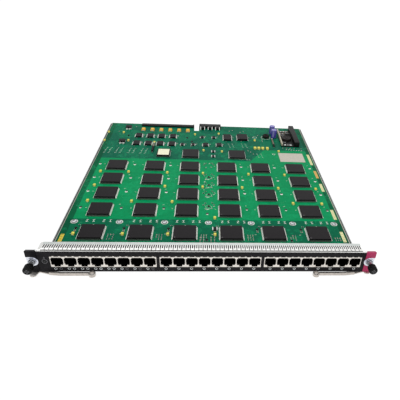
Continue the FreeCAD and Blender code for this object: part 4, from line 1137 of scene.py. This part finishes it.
def crisp_cap(bm):
    """Square the cap's outer corner and let its top fall towards the back, over the panel's end."""
    bmesh.ops.transform(bm, matrix=TO_CARD, verts=bm.verts)
    outer = max(abs(v.co.x) for v in bm.verts)
    inner = min(abs(v.co.x) for v in bm.verts)
    top = max(v.co.z for v in bm.verts)
    for v in bm.verts:
        side = 1 if v.co.x > 0 else -1
        if abs(v.co.x) > outer - CAP_CORNER and v.co.z > top - CAP_CORNER:
            v.co.x, v.co.z = side * outer, top
        elif v.co.z > top - 0.05 and abs(v.co.x) < inner + 2.5:
            v.co.x = side * (inner + 0.7)
        if v.co.z > top - 0.05:
            v.co.z -= (v.co.y + 0.6) * CAP_FALL
    bmesh.ops.transform(bm, matrix=TO_ROW, verts=bm.verts)


def softened(node, body, slot, width, materials=None, reshape=None):
    """Copy of a CAD node with its sharp edges rounded, in the node's place.

    The second of its materials goes on the rounded edges and the third on what faces the front; for the
    levers both are painted shade.
    """
    bm = bmesh.new()
    bm.from_mesh(nodes[node].data)
    bmesh.ops.remove_doubles(bm, verts=bm.verts, dist=SAME_POINT)
    bmesh.ops.dissolve_limit(bm, angle_limit=math.radians(2), verts=bm.verts, edges=bm.edges)
    if reshape:
        reshape(bm)
        bmesh.ops.remove_doubles(bm, verts=bm.verts, dist=SAME_POINT)
    if width:
        round_edges(bm, width * MM, clamp_overlap=True, material=1 if materials else -1)
    # Faces towards the front take the third material; for the levers this is painted shade
    if materials:
        for f in bm.faces:
            if f.normal.y < -0.5 and f.material_index == 0:
                f.material_index = 2
    obj = hang(bm, node + "_rounded", body, slot, materials, 32)
    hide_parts(node)
    return obj


def screw_springs():
    """Springs of the captive screws, each a copy of its CAD node on the card, with a mesh of its own."""
    for name in ("left", "right"):
        spring = softened(name + "_spring", "card", "spring_steel", 0)
        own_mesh(spring)


screw_springs()
board_fixings()
plated_holes()
printed_marks()
edge_strips()
small_parts()
transistors()
tantalum_blocks()
stickers()
bulk_cans()
wound_choke()
converter_parts()
fuses()
power_packages()
backplane_slots()
for side_name, cap_slot in (("left", "black_cap"), ("right", "magenta_cap")):
    # The levers' rounded edges and front faces get painted shade
    softened(side_name + "_lever", side_name + "_lever_body", "zinc_lever", 0.45,
             ["zinc_lever", LEVER_BEVEL_SHADE, LEVER_FRONT_SHADE])
    softened(side_name + "_end_cap", "card", cap_slot, 0.1, reshape=crisp_cap)
for node_name, body_name, slot_name, edge_width in (
        ("heat_sink_bar", "card", "black_connector", 0.35), ("converter_frame", "card", "beige_frame", 0.25),
        ("power_connector", "card", "black_connector", 0.25),
        ("backplane_connector", "card", "black_connector", 0.2)):
    softened(node_name, body_name, slot_name, edge_width)


# ---------------------------------------------------------------- floor, lights and camera

WHITE = (1.0, 1.0, 1.0, 1.0)
FLOOR_GLOW = 0.92
SKY_STRENGTH = 0.60
# Name, place in metres, size in metres and power in watts
LAMPS = (("key", (-0.9, -0.5, 1.9), 2.2, 15.0), ("fill", (1.1, -1.2, 1.3), 1.8, 9.0),
         ("back", (0.2, 1.5, 1.5), 1.8, 10.0))
LENS = 38.767
LENS_SHIFT = (-0.12, 0.04)
CAMERA_PLACE = (-0.00288, -0.56723, 0.32468)
CAMERA_TURN = (6.818, 33.505, 4.481)    # yaw, pitch and roll in degrees


def stage():
    """Pale floor, soft light from above and the left, and a camera in front, looking down on the card."""
    floor = bpy.data.meshes.new("floor")
    bm = bmesh.new()
    bmesh.ops.create_grid(bm, x_segments=2, y_segments=2, size=6.0,
                          matrix=Matrix.Translation((0, 0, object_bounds()[0].z - 0.0005)))
    bm.to_mesh(floor)
    bm.free()
    pale = Finish("pale_floor", (0.4, 0.4, 0.4), 0.7, level=0.05)
    pale.mottle(0.8, 0.005)
    pale.feed(pale.shader, {"Emission Color": WHITE, "Emission Strength": FLOOR_GLOW})
    floor.materials.append(pale.material)
    floor_object = bpy.data.objects.new("floor", floor)
    bpy.context.scene.collection.objects.link(floor_object)
    floor_object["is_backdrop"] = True

    bpy.context.scene.view_settings.view_transform = "Standard"
    world = bpy.data.worlds.new("studio")
    world.use_nodes = True
    sky = world.node_tree.nodes["Background"].inputs
    sky["Color"].default_value = WHITE
    sky["Strength"].default_value = SKY_STRENGTH
    bpy.context.scene.world = world
    for name, place, size, power in LAMPS:
        lamp = bpy.data.lights.new(name, "AREA")
        lamp.energy = power
        lamp.size = size
        obj = bpy.data.objects.new(name, lamp)
        obj.location = place
        obj.rotation_euler = (-Vector(place)).to_track_quat("-Z", "Y").to_euler()
        bpy.context.scene.collection.objects.link(obj)

    camera = bpy.data.cameras.new("camera")
    camera.sensor_width = 36.0
    camera.lens = LENS
    camera.shift_x, camera.shift_y = LENS_SHIFT
    camera.clip_end = 20.0
    yaw, pitch, roll = (math.radians(a) for a in CAMERA_TURN)
    ahead = Vector((math.sin(yaw) * math.cos(pitch), math.cos(yaw) * math.cos(pitch), -math.sin(pitch)))
    level = Vector((math.cos(yaw), -math.sin(yaw), 0))
    upright = level.cross(ahead)
    right = level * math.cos(roll) + upright * math.sin(roll)
    up = upright * math.cos(roll) - level * math.sin(roll)
    turn = Matrix((right, up, -ahead)).transposed().to_4x4()
    obj = bpy.data.objects.new("camera", camera)
    obj.matrix_world = Matrix.Translation(CAMERA_PLACE) @ turn
    bpy.context.scene.collection.objects.link(obj)
    bpy.context.scene.camera = obj


stage()
